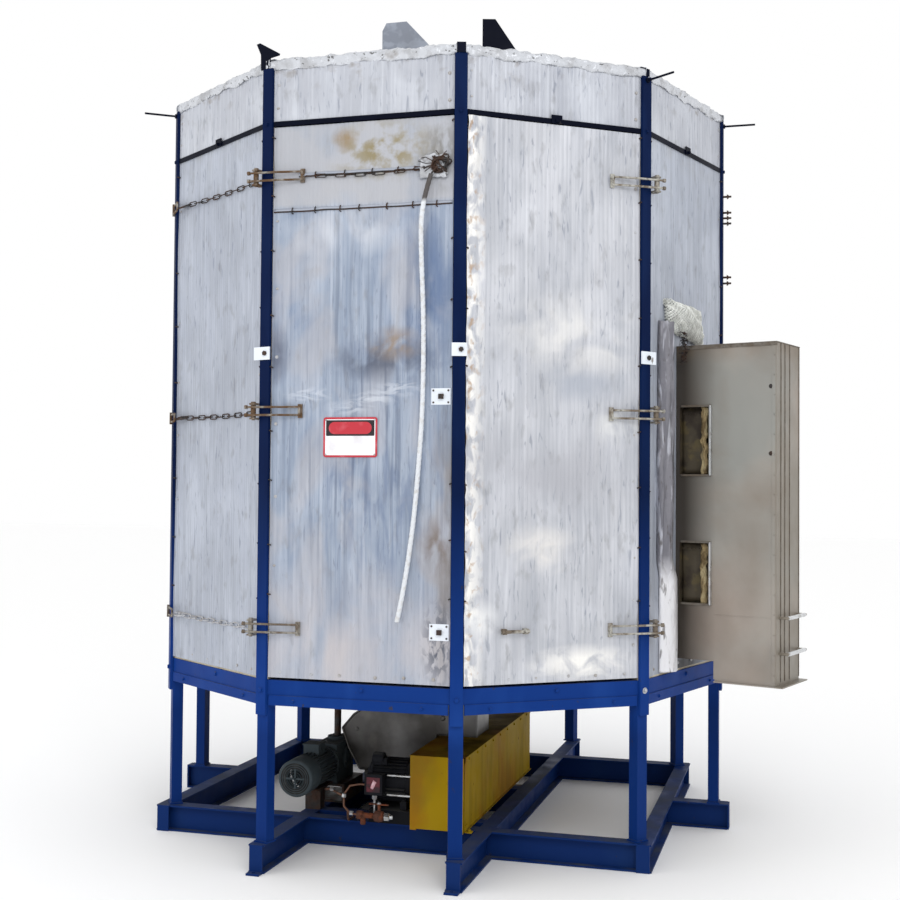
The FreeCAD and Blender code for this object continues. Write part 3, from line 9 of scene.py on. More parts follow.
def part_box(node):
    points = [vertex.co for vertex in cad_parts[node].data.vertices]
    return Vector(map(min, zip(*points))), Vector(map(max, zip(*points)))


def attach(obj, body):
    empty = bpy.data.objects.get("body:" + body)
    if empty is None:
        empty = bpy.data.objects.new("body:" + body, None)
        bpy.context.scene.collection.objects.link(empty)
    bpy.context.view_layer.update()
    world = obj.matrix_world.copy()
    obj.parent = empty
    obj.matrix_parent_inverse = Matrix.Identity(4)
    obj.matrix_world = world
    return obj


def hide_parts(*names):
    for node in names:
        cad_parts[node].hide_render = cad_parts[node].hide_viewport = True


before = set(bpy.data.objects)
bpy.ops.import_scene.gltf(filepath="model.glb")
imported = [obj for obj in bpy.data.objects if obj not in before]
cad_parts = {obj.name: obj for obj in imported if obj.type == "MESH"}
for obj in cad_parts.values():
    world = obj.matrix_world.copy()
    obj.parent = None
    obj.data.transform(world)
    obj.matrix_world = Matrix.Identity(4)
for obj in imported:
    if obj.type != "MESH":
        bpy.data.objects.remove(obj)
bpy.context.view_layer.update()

# ---------------------------------------------------------------- sizes shared with the frame, in metres

SIDE = 0.9144
WALL = 1.395
RING = 1.400
POST_CIRCLE = SIDE / 2 / math.sin(math.radians(18))
PANEL_LOW, PANEL_HIGH = 0.868, 3.360
FASCIA_LOW, ROOF_TOP, CURB_TOP = 3.382, 3.632, 3.678
CLAMPS = (1.091, 2.066, 3.129)
LATCHES = (2.125, 1.100)
FACES = tuple(range(-144, 181, 36))
CORNERS = tuple(range(-162, 163, 36))
LEFT_DOOR, RIGHT_DOOR, DUCT_FACE, CHAIN_FACE = 0, 36, 72, -36
RIB_PITCH = 0.0205


def turned(degrees):
    return Matrix.Rotation(math.radians(degrees), 4, "Z")


def tone(color):
    """A colour as it looks on a screen, from 0 to 255, as linear light with full opacity."""
    return (*((c / 255 / 12.92) if c < 11 else ((c / 255 + 0.055) / 1.055) ** 2.4 for c in color), 1)


# ---------------------------------------------------------------- materials


class Surface:
    """A node material built up in layers: each layer is a colour that shows through a mask."""

    def __init__(self, name, color, rough, metal=0.0, gloss=0.5, angle=0.0, flat=False):
        self.material = bpy.data.materials.new(name)
        self.material.use_nodes = True
        self.material.diffuse_color = tone(color)
        self.tree = self.material.node_tree
        self.shader = self.tree.nodes["Principled BSDF"]
        self.shader.inputs["Metallic"].default_value = metal
        self.shader.inputs["Specular IOR Level"].default_value = gloss
        self.where = self.node("ShaderNodeTexCoord").outputs["UV" if flat else "Object"]
        if angle:
            spun = self.node("ShaderNodeMapping")
            spun.inputs["Rotation"].default_value = (0, 0, math.radians(-angle))
            self.join(self.where, spun.inputs["Vector"])
            self.where = spun.outputs["Vector"]
        self.color = self.node("ShaderNodeRGB").outputs[0]
        self.color.default_value = tone(color)
        self.rough = self.fit(self.noise(9, 4), 0.3, 0.7, max(rough - 0.08, 0.02), min(rough + 0.1, 1))
        self.height = None
        self.join(self.color, self.shader.inputs["Base Color"])
        self.join(self.rough, self.shader.inputs["Roughness"])

    def node(self, kind, **settings):
        made = self.tree.nodes.new(kind)
        for key, value in settings.items():
            setattr(made, key, value)
        return made

    def join(self, source, target):
        self.tree.links.new(source, target)

    def noise(self, scale, detail=3, stretch=(1, 1, 1), warp=0.0):
        place = self.node("ShaderNodeMapping")
        place.inputs["Scale"].default_value = stretch
        self.join(self.where, place.inputs["Vector"])
        made = self.node("ShaderNodeTexNoise")
        for socket, number in (("Scale", scale), ("Detail", detail), ("Distortion", warp)):
            made.inputs[socket].default_value = number
        self.join(place.outputs["Vector"], made.inputs["Vector"])
        return made.outputs["Fac"]

    def fit(self, value, low, high, to_low=0.0, to_high=1.0):
        made = self.node("ShaderNodeMapRange")
        self.join(value, made.inputs["Value"])
        for socket, number in (("From Min", low), ("From Max", high), ("To Min", to_low), ("To Max", to_high)):
            made.inputs[socket].default_value = number
        return made.outputs["Result"]

    def times(self, one, other):
        made = self.node("ShaderNodeMath", operation="MULTIPLY")
        for socket, value in zip(made.inputs, (one, other)):
            if isinstance(value, (int, float)):
                socket.default_value = value
            else:
                self.join(value, socket)
        return made.outputs[0]

    def part(self, vector, axis):
        parts = self.node("ShaderNodeSeparateXYZ")
        self.join(vector, parts.inputs[0])
        return parts.outputs[axis]

    def mask(self, kind, *numbers):
        """X, Y or Z grows from 0 to 1 between two places on that axis, and spot is round, with a soft rim.

        the rib valley mask lays painted shade in narrow stripes along the rib valleys, and up is what faces up, where
        dust settles.
        """
        if kind == "up":
            normal = self.node("ShaderNodeNewGeometry").outputs["Normal"]
            return self.fit(self.part(normal, "Z"), 0.6, 0.95)
        if kind == "ribs":
            wave = self.node("ShaderNodeMath", operation="SINE")
            self.join(self.times(self.part(self.where, "X"), 2 * math.pi / RIB_PITCH), wave.inputs[0])
            return self.fit(wave.outputs[0], -0.35, -0.95)
        if kind == "spot":
            x, y, reach_x, reach_y = numbers
            moved = self.node("ShaderNodeMapping", vector_type="POINT")
            moved.inputs["Location"].default_value = (-x / reach_x, -y / reach_y, 0)
            moved.inputs["Scale"].default_value = (1 / reach_x, 1 / reach_y, 1)
            self.join(self.where, moved.inputs["Vector"])
            length = self.node("ShaderNodeVectorMath", operation="LENGTH")
            self.join(moved.outputs["Vector"], length.inputs[0])
            return self.fit(length.outputs["Value"], 1.0, 0.25)
        return self.fit(self.part(self.where, kind), *numbers)

    def layer(self, color, amount, low=0.45, high=0.6, scale=4, stretch=(1, 1, 1), detail=4, warp=0.0,
              only=(), rough=None):
        """Lays a colour over what is there, through noise and through every mask in only."""
        mask = self.times(self.fit(self.noise(scale, detail, stretch, warp), low, high), amount)
        for kind_and_numbers in only:
            mask = self.times(mask, self.mask(*kind_and_numbers))
        mixer = self.node("ShaderNodeMix", data_type="RGBA")
        self.join(mask, mixer.inputs["Factor"])
        self.join(self.color, mixer.inputs[6])
        mixer.inputs[7].default_value = tone(color)
        self.color = mixer.outputs[2]
        self.join(self.color, self.shader.inputs["Base Color"])
        if rough is not None:
            blend = self.node("ShaderNodeMix")
            self.join(mask, blend.inputs["Factor"])
            self.join(self.rough, blend.inputs[2])
            blend.inputs[3].default_value = rough
            self.rough = blend.outputs[0]
            self.join(self.rough, self.shader.inputs["Roughness"])

    def marks(self, *rows):
        """Lays one masked layer per row, its stretch given in two directions."""
        for color, amount, low, high, scale, stretch, detail, warp, only, rough in rows:
            self.layer(color, amount, low, high, scale, (*stretch, 1), detail, warp, [only] if only else (), rough)

    def bump(self, scale, strength, distance=0.002, stretch=(1, 1, 1), detail=3, warp=0.0):
        made = self.node("ShaderNodeBump")
        made.inputs["Strength"].default_value = strength
        made.inputs["Distance"].default_value = distance
        self.join(self.noise(scale, detail, stretch, warp), made.inputs["Height"])
        if self.height:
            self.join(self.height, made.inputs["Normal"])
        self.height = made.outputs["Normal"]
        self.join(self.height, self.shader.inputs["Normal"])


def cladding(name, color, streak_and_valley_shade, pale, valley_shade=0.55):
    """Bare ribbed aluminium jacketing: painted shade in fine stripes along the rib valleys, cloudy oxide, faint streaks
    and small scuffs.
    """
    made = Surface(name, color, 0.46, metal=0.18, gloss=0.35, flat=True)
    made.marks(
        (streak_and_valley_shade, 0.6, 0.40, 0.66, 1.9, (1.6, 0.9), 5, 0.5, None, 0.55),
        (pale, 0.55, 0.46, 0.68, 2.6, (1.2, 0.9), 4, 0.6, None, None),
        (streak_and_valley_shade, 0.4, 0.46, 0.62, 1.0, (26, 1.4), 5, 0, None, 0.55),
        (pale, 0.35, 0.5, 0.66, 1.0, (60, 2.2), 3, 0, None, 0.35),
        # painted shade: dark stripes along the rib valleys
        (streak_and_valley_shade, valley_shade, 0.40, 0.62, 4.0, (2.4, 0.5), 4, 0.4, ("ribs",), None),
        ((104, 112, 130), 0.45, 0.60, 0.68, 26, (2.4, 0.35), 5, 1.0, None, 0.6),
        ((124, 124, 126), 0.35, 0.58, 0.70, 14, (1.4, 0.6), 5, 0, None, 0.6))
    made.bump(16, 0.25, 0.004, (1, 0.6, 1), 4)
    made.bump(70, 0.2, 0.0012, (1.6, 0.5, 1), 3)
    return made


def painted(name, color, worn, chip, dust=(92, 92, 90), rough=0.42):
    """Brushed-on gloss paint: uneven sheen, rubbed places, small chips and settled dust."""
    made = Surface(name, color, rough, gloss=0.05)
    made.layer(worn, 0.5, 0.5, 0.72, 5, (1, 1, 0.35), 5, 0.4, rough=0.55)
    made.layer(chip, 0.85, 0.70, 0.73, 34, (1, 1, 0.6), 6, rough=0.8)
    made.layer(dust, 0.7, 0.35, 0.65, 7, only=[("up",)], rough=0.9)
    made.bump(26, 0.12, 0.002)
    made.bump(140, 0.1, 0.0008)
    return made


def rusty(name, color, rust, amount, metal=0.7, rough=0.45):
    """Plain or zinc-plated steel that has rusted in patches."""
    made = Surface(name, color, rough, metal=metal)
    made.layer(rust, amount, 0.42, 0.58, 22, detail=6, rough=0.9)
    made.layer((52, 36, 26), amount * 0.7, 0.52, 0.66, 60, detail=5, rough=0.95)
    made.bump(90, 0.35, 0.001)
    return made


def plain(name, color, rough, layers, bump, **settings):
    """A surface with unstretched layers of (colour, amount, low, high, scale, detail) and one bump."""
    made = Surface(name, color, rough, **settings)
    for shade, amount, low, high, scale, detail in layers:
        made.layer(shade, amount, low, high, scale, detail=detail)
    made.bump(*bump)
    return made


EVEN = (1, 1)
left_cladding = cladding("left_door_cladding", (158, 168, 184), (124, 138, 160), (188, 196, 210))
left_cladding.marks(
    ((92, 112, 146), 0.85, 0.34, 0.60, 3.2, (3, 0.9), 5, 0.5, ("spot", 0.30, 2.62, 0.26, 0.52), 0.5),
    ((122, 138, 164), 0.6, 0.42, 0.62, 3.2, (4, 0.8), 5, 0.4, ("spot", -0.34, 2.42, 0.17, 0.62), 0.5),
    ((112, 126, 152), 0.7, 0.46, 0.60, 3.4, (6, 1), 6, 0.6, ("spot", 0.05, 1.72, 0.50, 0.60), 0.5),
    ((104, 116, 140), 0.6, 0.44, 0.60, 3.0, (3.5, 3), 6, 0.8, ("spot", 0.16, 2.30, 0.40, 0.14), 0.5),
    ((176, 174, 178), 0.5, 0.48, 0.62, 2.2, (1.6, 1), 4, 0.8, None, 0.45),
    ((204, 208, 216), 0.7, 0.38, 0.60, 3, (2, 1), 4, 0.6, ("spot", -0.08, 2.86, 0.38, 0.12), 0.4),
    ((190, 185, 187), 0.8, 0.30, 0.60, 2.0, (2, 1), 4, 0.6, ("Y", 1.40, 1.02), 0.45),
    ((78, 90, 112), 0.55, 0.52, 0.64, 1.0, (38, 1.3), 5, 0, ("spot", 0.0, 2.05, 0.52, 1.15), 0.5),
    ((84, 90, 106), 0.85, 0.38, 0.56, 7, (1.2, 1), 5, 0.6, ("spot", 0.10, 2.29, 0.28, 0.11), 0.5),
    ((146, 128, 110), 0.8, 0.36, 0.54, 8, EVEN, 5, 0.5, ("spot", 0.16, 2.36, 0.15, 0.09), 0.6),
    # painted shade down the left edge of the door
    ((92, 98, 116), 0.85, 0.30, 0.50, 5, EVEN, 4, 0, ("spot", -0.40, 2.32, 0.07, 0.16), 0.5))
for crease_x, crease_z in ((-0.05, 2.08), (0.07, 2.12), (0.18, 2.16), (-0.245, 2.14)):
    left_cladding.marks(((206, 211, 220), 0.55, 0.44, 0.58, 15, (0.7, 1.8), 5, 1.4,
                         ("spot", crease_x, crease_z, 0.13, 0.040), 0.35))
left_cladding.marks(
    ((112, 104, 98), 0.75, 0.36, 0.60, 3.0, (4, 1), 5, 0.4, ("spot", 0.42, 1.45, 0.13, 0.75), 0.6),
    ((106, 88, 72), 0.8, 0.36, 0.58, 6, (2, 1), 5, 0.4, ("spot", 0.36, 1.46, 0.10, 0.16), 0.6),
    ((78, 84, 98), 0.9, 0.45, 0.56, 22, (1.5, 0.8), 5, 0.8, ("spot", 0.37, 1.05, 0.09, 0.22), 0.6),
    ((176, 177, 182), 0.85, 0.30, 0.50, 3, EVEN, 4, 0, ("Y", 2.97, 3.00), None),
    ((146, 122, 84), 0.85, 0.34, 0.60, 9, EVEN, 6, 0, ("spot", -0.082, 3.285, 0.075, 0.075), 0.7),
    ((140, 128, 92), 0.9, 0.45, 0.58, 12, EVEN, 5, 0, ("spot", 0.10, 3.22, 0.30, 0.16), 0.7),
    ((128, 126, 122), 0.8, 0.42, 0.56, 14, (1.6, 0.8), 5, 0, ("spot", 0.37, 3.20, 0.12, 0.20), 0.7))

CRUMPLED_EDGE = ("X", -0.33, -0.40)
right_cladding = cladding("right_door_cladding", (189, 191, 197), (162, 166, 175), (215, 217, 224), 0.4)
right_cladding.marks(
    ((226, 225, 224), 0.75, 0.38, 0.62, 3.2, (1, 1.6), 5, 0.9, ("spot", 0.10, 2.42, 0.42, 0.22), 0.35),
    ((226, 223, 220), 0.8, 0.34, 0.58, 4.5, (1, 1.4), 5, 0.9, ("spot", -0.06, 1.46, 0.20, 0.13), 0.3),
    ((232, 232, 230), 0.8, 0.36, 0.58, 6.5, EVEN, 5, 0.9, ("spot", 0.32, 2.00, 0.15, 0.10), 0.3),
    ((230, 231, 232), 0.85, 0.32, 0.55, 6.5, EVEN, 5, 0.9, ("spot", -0.36, 1.15, 0.12, 0.10), 0.3),
    ((246, 244, 240), 0.9, 0.36, 0.52, 7, (1, 1.6), 5, 0.6, ("spot", 0.14, 0.95, 0.30, 0.09), 0.3),
    ((246, 244, 240), 0.9, 0.42, 0.56, 16, (1.4, 0.7), 4, 0.6, CRUMPLED_EDGE, 0.3),
    ((170, 138, 104), 0.7, 0.56, 0.66, 22, (1.4, 0.9), 5, 0.4, CRUMPLED_EDGE, 0.7),
    ((170, 171, 178), 0.75, 0.30, 0.60, 2.2, (1, 1.2), 4, 0.4, ("spot", 0.0, 1.80, 0.60, 0.24), 0.42),
    ((166, 172, 184), 0.7, 0.35, 0.60, 2.4, (1.4, 1.6), 4, 0.4, ("spot", 0.12, 2.20, 0.36, 0.10), 0.42))

FULL = (-1, 0)
FLAT_STEP = 200 * RIB_PITCH
soot_x = FLAT_STEP * FACES.index(DUCT_FACE) + 0.02
side_cladding = cladding("side_cladding", (168, 174, 187), (148, 153, 163), (190, 196, 208))
side_cladding.layer((38, 36, 36), 0.92, *FULL, only=[("spot", soot_x, 0.885, 0.34, 0.075)])
side_cladding.marks(((150, 148, 142), 0.7, 0.45, 0.62, 6, (1.5, 1), 5, 0, ("Y", 3.25, 3.50), 0.6))
fascia_cladding = cladding("fascia_cladding", (180, 183, 191), (166, 170, 180), (210, 214, 222), 0.25)
fascia_cladding.marks(((120, 108, 92), 0.55, 0.58, 0.70, 10, (1.2, 1.4), 6, 0, ("Y", 3.50, 3.62), 0.8))

foil = Surface("aluminium_foil", (200, 203, 209), 0.36, metal=0.35)
foil.layer((150, 150, 152), 0.6, 0.5, 0.66, 12, detail=6)
foil.layer((104, 88, 66), 0.6, 0.64, 0.74, 9, detail=6, rough=0.8)
foil.layer((70, 68, 66), 0.8, 0.64, 0.68, 60, detail=3, rough=0.8)
foil.bump(30, 0.9, 0.008, detail=5, warp=0.8)
tape_foil = Surface("tape_foil", (124, 123, 130), 0.36, metal=0.35)
tape_foil.layer((104, 104, 112), 0.7, 0.5, 0.62, 6, (4, 4, 0.7), 5, 0.6)
tape_foil.layer((196, 198, 208), 0.7, 0.55, 0.66, 8, (4, 4, 0.6), 5, 0.6)
tape_foil.layer((226, 226, 230), 1.0, 0.20, 0.45, 4, (2, 2, 1), 4, only=[("Z", 1.42, 1.28)])
tape_foil.layer((84, 80, 78), 0.7, 0.60, 0.68, 26, (2, 2, 0.5), 6, rough=0.7)
tape_foil.bump(34, 0.8, 0.006, (1, 1, 0.5), 5, 0.9)

steel_blue = painted("blue_paint", (16, 52, 122), (30, 68, 140), (58, 56, 62))
# painted shade: the frame blue darkens to navy upwards from 0.9 m to 1.7 m, and the next layer mottles that painted
# shade
steel_blue.layer((5, 22, 58), 0.98, *FULL, only=[("Z", 0.9, 1.7)], rough=0.55)
steel_blue.layer((14, 36, 78), 0.5, 0.5, 0.66, 6, (1, 1, 0.3), 5, only=[("Z", 0.9, 1.7)])
steel_blue.layer((8, 38, 94), 0.6, *FULL, only=[("Z", 0.70, 0.60)])
# painted shade: the base takes a darker copy of the frame blue, for the beams at the back and under the kiln
base_blue = painted("base_blue_paint", (17, 43, 96), (28, 54, 100), (52, 50, 56), (70, 74, 82))
dark_blue = painted("dark_blue_paint", (7, 11, 26), (14, 20, 40), (50, 48, 50), (34, 34, 38))
yellow = painted("yellow_paint", (156, 127, 12), (166, 138, 36), (74, 60, 26), (56, 48, 22), 0.5)
yellow.layer((146, 84, 30), 0.5, 0.52, 0.66, 4, (1, 1, 0.5), 6, rough=0.6)
yellow.layer((104, 90, 40), 0.35, 0.50, 0.62, 3, (1, 4, 0.8), 5, rough=0.7)
white_paint = painted("white_paint", (226, 232, 240), (204, 208, 214), (120, 112, 104))
machine_grey = painted("grey_green_paint", (62, 70, 74), (88, 98, 106), (30, 32, 34))
machine_black = painted("black_paint", (26, 27, 31), (52, 54, 60), (78, 74, 70))
mesh_metal = rusty("expanded_metal", (244, 246, 242), (120, 122, 112), 0.3, 0.0, 0.5)
zinc = rusty("zinc_plate", (190, 192, 196), (150, 128, 96), 0.35, 0.8, 0.35)
dark_steel = rusty("dark_steel", (56, 54, 54), (92, 60, 40), 0.5, 0.6, 0.5)
duct_trim = rusty("duct_trim_steel", (112, 106, 98), (92, 76, 58), 0.5, 0.3, 0.5)
red_rust = rusty("red_rust", (84, 50, 36), (120, 62, 34), 0.9, 0.3, 0.75)
pale_strap = rusty("pale_strap_steel", (176, 174, 166), (104, 84, 62), 0.75, 0.5, 0.45)
strap_steel = rusty("strap_steel", (150, 146, 138), (96, 76, 56), 0.7, 0.5, 0.45)
strap_steel.layer((104, 76, 48), 0.85, 0.40, 0.56, 24, detail=6, rough=0.9,
                  only=[("Z", 1.5, 1.7), ("X", 0.4, 0.2)])

stainless = Surface("heat_tinted_stainless", (152, 149, 142), 0.42, metal=0.25, angle=DUCT_FACE)
stainless.layer((160, 144, 132), 0.7, 0.38, 0.62, 1.3, (1, 1, 1), 4, 0.4)
stainless.layer((138, 140, 136), 0.7, 0.44, 0.60, 1.6, (1, 1, 1.2), 4, 0.4)
stainless.layer((124, 112, 100), 0.6, 0.45, 0.70, 2.2, (1, 1, 1), 5, 0.3)
# painted shadow of the foil wrap, partly heat stain: the duct darkens towards the wall, fully dark within 1.44 m of the
# centre and clear beyond 1.60 m
stainless.layer((62, 56, 50), 0.96, *FULL, only=[("Y", -1.60, -1.44)])
stainless.layer((124, 116, 104), 0.8, 0.2, 0.5, 2, only=[("Y", -1.885, -1.894)])
stainless.layer((112, 96, 78), 0.7, 0.3, 0.6, 6, detail=5, only=[("Z", 2.32, 2.42)])
stainless.bump(2.2, 0.5, 0.02)
dull_wool = Surface("dull_wool", (150, 132, 98), 0.95, gloss=0.1)
dull_wool.layer((92, 76, 54), 0.8, 0.46, 0.60, 34, (1, 1, 0.6), 6)
dull_wool.layer((186, 172, 136), 0.6, 0.52, 0.62, 26, (1, 1, 0.5), 5)
dull_wool.bump(90, 1.0, 0.008, detail=6)
liner = Surface("liner_steel", (120, 112, 104), 0.45, metal=0.8)
liner.layer((96, 76, 60), 0.7, 0.45, 0.62, 2.4, detail=5)
liner.layer((150, 142, 132), 0.5, 0.52, 0.62, 7, (1, 1, 0.3), 4)
liner.bump(5, 0.3, 0.006)
roof_sheet = Surface("roof_sheet", (196, 198, 204), 0.4, metal=0.75)
roof_sheet.layer((150, 148, 146), 0.7, 0.44, 0.62, 2.4, detail=6)
roof_sheet.layer((112, 98, 80), 0.5, 0.58, 0.70, 5, detail=6, rough=0.8)
roof_sheet.bump(3, 0.5, 0.02)
rope_fibre = Surface("braided_rope", (220, 224, 229), 0.7, gloss=0.3)
rope_fibre.layer((196, 194, 190), 0.6, 0.50, 0.64, 40, detail=5)
rope_fibre.layer((66, 60, 58), 0.95, *FULL, only=[("Z", 2.972, 2.992)])
rope_fibre.bump(260, 0.6, 0.001, (1, 1, 0.5))

galvanised = plain("galvanised_sheet", (132, 138, 150), 0.45, [
    ((156, 163, 176), 0.7, 0.48, 0.6, 20, 2),
    ((116, 120, 128), 0.6, 0.5, 0.66, 5, 5)], (18, 0.15, 0.003), metal=0.35)
hopper_steel = plain("hopper_stainless", (114, 113, 112), 0.36, [
    ((60, 56, 52), 0.8, 0.44, 0.60, 3, 5),
    ((128, 124, 118), 0.5, 0.55, 0.66, 5, 4)], (3, 0.4, 0.02), metal=0.6)
brown_panel = plain("scorched_panel", (78, 70, 56), 0.55, [
    ((48, 40, 34), 0.8, 0.45, 0.60, 10, 6), ((104, 92, 60), 0.6, 0.52, 0.64, 16, 5)], (24, 0.4, 0.004), metal=0.3)
wool = plain("ceramic_wool", (212, 204, 186), 0.95, [((176, 160, 130), 0.6, 0.45, 0.65, 9, 6)],
             (60, 0.9, 0.006, (1, 1, 1), 6), gloss=0.1)
firebrick = plain("firebrick", (206, 186, 148), 0.95, [((158, 128, 92), 0.7, 0.46, 0.62, 8, 6)],
                  (50, 0.6, 0.003, (1, 1, 1), 5), gloss=0.1)
cordierite = plain("hearth_ceramic", (196, 178, 152), 0.85, [((140, 116, 92), 0.6, 0.48, 0.64, 6, 6)],
                   (80, 0.4, 0.002), gloss=0.2)
# the same dark material also serves as painted shade in the gearmotor cowl's slots
rubber_and_slot_shade = plain("belt_rubber", (24, 24, 25), 0.75, [((60, 58, 54), 0.5, 0.5, 0.66, 30, 5)],
               (120, 0.4, 0.001), gloss=0.25)
element = plain("heater_element", (72, 64, 60), 0.6, [((120, 90, 66), 0.6, 0.48, 0.62, 20, 5)],
                (80, 0.3, 0.001), metal=0.5)
# bright steel for fittings, also used as the painted highlight on the duct ports' upright lips
bright_steel_and_lip_highlight = plain("bright_steel_and_lip_highlight", (206, 208, 210), 0.3, [((150, 146, 140), 0.6, 0.5, 0.64, 24, 5)],
                     (90, 0.2, 0.001), metal=0.85)
copper = plain("aged_copper", (112, 80, 64), 0.45, [((52, 40, 36), 0.7, 0.48, 0.62, 40, 5)],
               (100, 0.2, 0.001), metal=0.6)
PRINT_GRAIN = (60, 0.1, 0.0005)
PRINT = (
    ("sign_white", (236, 238, 242), 0.35, ((206, 196, 200), 0.6, 0.5, 0.7, 12, 5), 0.4),
    ("sign_red", (186, 44, 58), 0.35, ((206, 98, 108), 0.6, 0.5, 0.7, 20, 5), 0.4),
    ("sign_black", (34, 26, 30), 0.35, ((74, 48, 54), 0.6, 0.52, 0.68, 18, 5), 0.4),
    ("label_maroon", (92, 34, 44), 0.4, ((40, 26, 32), 0.9, 0.45, 0.60, 30, 5), 0.3),
    ("label_pink", (226, 190, 198), 0.4, ((196, 120, 132), 0.7, 0.45, 0.62, 40, 4), 0.3),
)
sign_white, sign_red, sign_black, label_maroon, label_pink = (
    plain(name, color, rough, [fading], PRINT_GRAIN, gloss=gloss) for name, color, rough, fading, gloss in PRINT)

NODE_LOOKS = (
    (steel_blue, "legs ring_beam corner_posts"),
    (base_blue, "base_long_beams base_cross_beams beam_end_plates"),
    (dark_blue, "band_bars roof_lugs tie_rods"),
    (pale_strap, "right_door_straps door_handle"),
    (strap_steel, "left_door_straps post_brackets"),
    (white_paint, "splice_plates latch_plates"),
    (wool, "wall_insulation left_door_insulation right_door_insulation"),
    (liner, "inner_lining inner_duct"),
    (firebrick, "floor_insulation"),
    (cordierite, "hearth_tiles"),
    (roof_sheet, "roof_skin"),
    (dark_steel, "upper_latch lower_latch floor_deck roof_joists table_shaft turntable drive_chain drive_sprocket "
                 "bearings driven_pulley drive_pulley gear_stand fan_wheel cooling_fan"),
    (galvanised, "vent_hood fan_housing"),
    (stainless, "duct_casing"),
    (brown_panel, "duct_insulation"),
    (element, "heater_bank"),
    (hopper_steel, "air_plenum"),
    (rubber_and_slot_shade, "drive_belts"),
    (yellow, "belt_guard"),
)
for look, names in NODE_LOOKS:
    for node_name in names.split():
        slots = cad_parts[node_name].data.materials
        for index in range(max(1, len(slots))):
            if index < len(slots):
                slots[index] = look.material
            else:
                slots.append(look.material)


# ---------------------------------------------------------------- shapes


class Shape:
    """Points and faces of one piece, gathered from simple forms."""

    def __init__(self):
        self.points = []
        self.faces = []
        self.flat = []

    def add(self, points, faces, flat=None):
        start = len(self.points)
        self.points += [Vector(p) for p in points]
        self.faces += [tuple(start + i for i in face) for face in faces]
        if flat:
            self.flat += flat
        return self

    def include(self, other, place=Matrix.Identity(4)):
        return self.add([place @ p for p in other.points], other.faces, list(other.flat))

    def placed(self, place):
        return Shape().include(self, place)

    def box(self, low, high):
        (a, b, c), (d, e, f) = low, high
        points = [(x, y, z) for x in (a, d) for y in (b, e) for z in (c, f)]
        return self.add(points, [(0, 1, 3, 2), (4, 6, 7, 5), (0, 4, 5, 1), (2, 3, 7, 6), (0, 2, 6, 4), (1, 5, 7, 3)])

    def lathe(self, profile, start, axis, sides=24, capped=True):
        """Turns (distance, radius) pairs about a line from start."""
        axis = Vector(axis).normalized()
        across = axis.orthogonal().normalized()
        up = axis.cross(across)
        rings = []
        for distance, radius in profile:
            centre = Vector(start) + axis * distance
            rings.append([centre + (across * math.cos(t) + up * math.sin(t)) * radius
                          for t in (2 * math.pi * k / sides for k in range(sides))])
        points = [p for ring in rings for p in ring]
        faces = [(r * sides + k, r * sides + (k + 1) % sides, (r + 1) * sides + (k + 1) % sides, (r + 1) * sides + k)
                 for r in range(len(rings) - 1) for k in range(sides)]
        if capped:
            faces += [tuple(range(sides)), tuple((len(rings) - 1) * sides + k for k in range(sides))]
        return self.add(points, faces)

    def rod(self, start, end, radius, sides=12):
        line = Vector(end) - Vector(start)
        lip = min(radius * 0.25, line.length * 0.2)
        profile = [(0, radius - lip), (lip, radius), (line.length - lip, radius), (line.length, radius - lip)]
        return self.lathe(profile, start, line, sides)

    def hexagon(self, centre, out, across=0.014, tall=0.006, washer=True):
        """A hexagon bolt head, with its washer, standing out along a direction."""
        out = Vector(out).normalized()
        if washer:
            self.lathe([(0, across * 0.8), (0.0012, across * 0.8), (0.0016, across * 0.75)], centre, out, 14)
        half = across / math.sqrt(3)
        profile = [(0.001, half), (tall * 0.8, half), (tall, half * 0.82)]
        return self.lathe(profile, centre, out, 6)

    def sweep(self, route, radius, sides=8, closed=False, profile=None, twist=0.0):
        """A round or shaped tube along points, kept from turning on itself."""
        route = [Vector(p) for p in route]
        count = len(route)
        tangents = []
        for k in range(count):
            before = route[k - 1] if closed or k else route[0]
            after = route[(k + 1) % count] if closed or k < count - 1 else route[-1]
            tangents.append((after - before).normalized())
        side = tangents[0].orthogonal().normalized()
        points = []
        travelled = 0.0
        for k, (point, tangent) in enumerate(zip(route, tangents)):
            side = (side - tangent * side.dot(tangent)).normalized()
            up = tangent.cross(side)
            travelled += (point - route[k - 1]).length if k else 0
            for s in range(sides):
                t = 2 * math.pi * s / sides
                reach = radius * (profile(t) if profile else 1)
                angle = t + twist * travelled
                points.append(point + (side * math.cos(angle) + up * math.sin(angle)) * reach)
        rings = count if closed else count - 1
        faces = [(r * sides + s, r * sides + (s + 1) % sides, (r + 1) % count * sides + (s + 1) % sides,
                  (r + 1) % count * sides + s) for r in range(rings) for s in range(sides)]
        if not closed:
            faces += [tuple(range(sides)), tuple((count - 1) * sides + s for s in range(sides))]
        return self.add(points, faces)

    def link(self, centre, along, face, length, width, wire):
        """One oval chain link."""
        along = Vector(along).normalized()
        face = (Vector(face) - along * Vector(face).dot(along)).normalized()
        across = along.cross(face)
        bend = width / 2
        straight = length / 2 - bend
        route = []
        for end in (1, -1):
            for k in range(5):
                t = math.pi * (k / 4 - 0.5)
                route.append(Vector(centre) + along * end * (straight + bend * math.cos(t))
                             + across * end * bend * math.sin(t))
        return self.sweep(route, wire / 2, 6, closed=True)


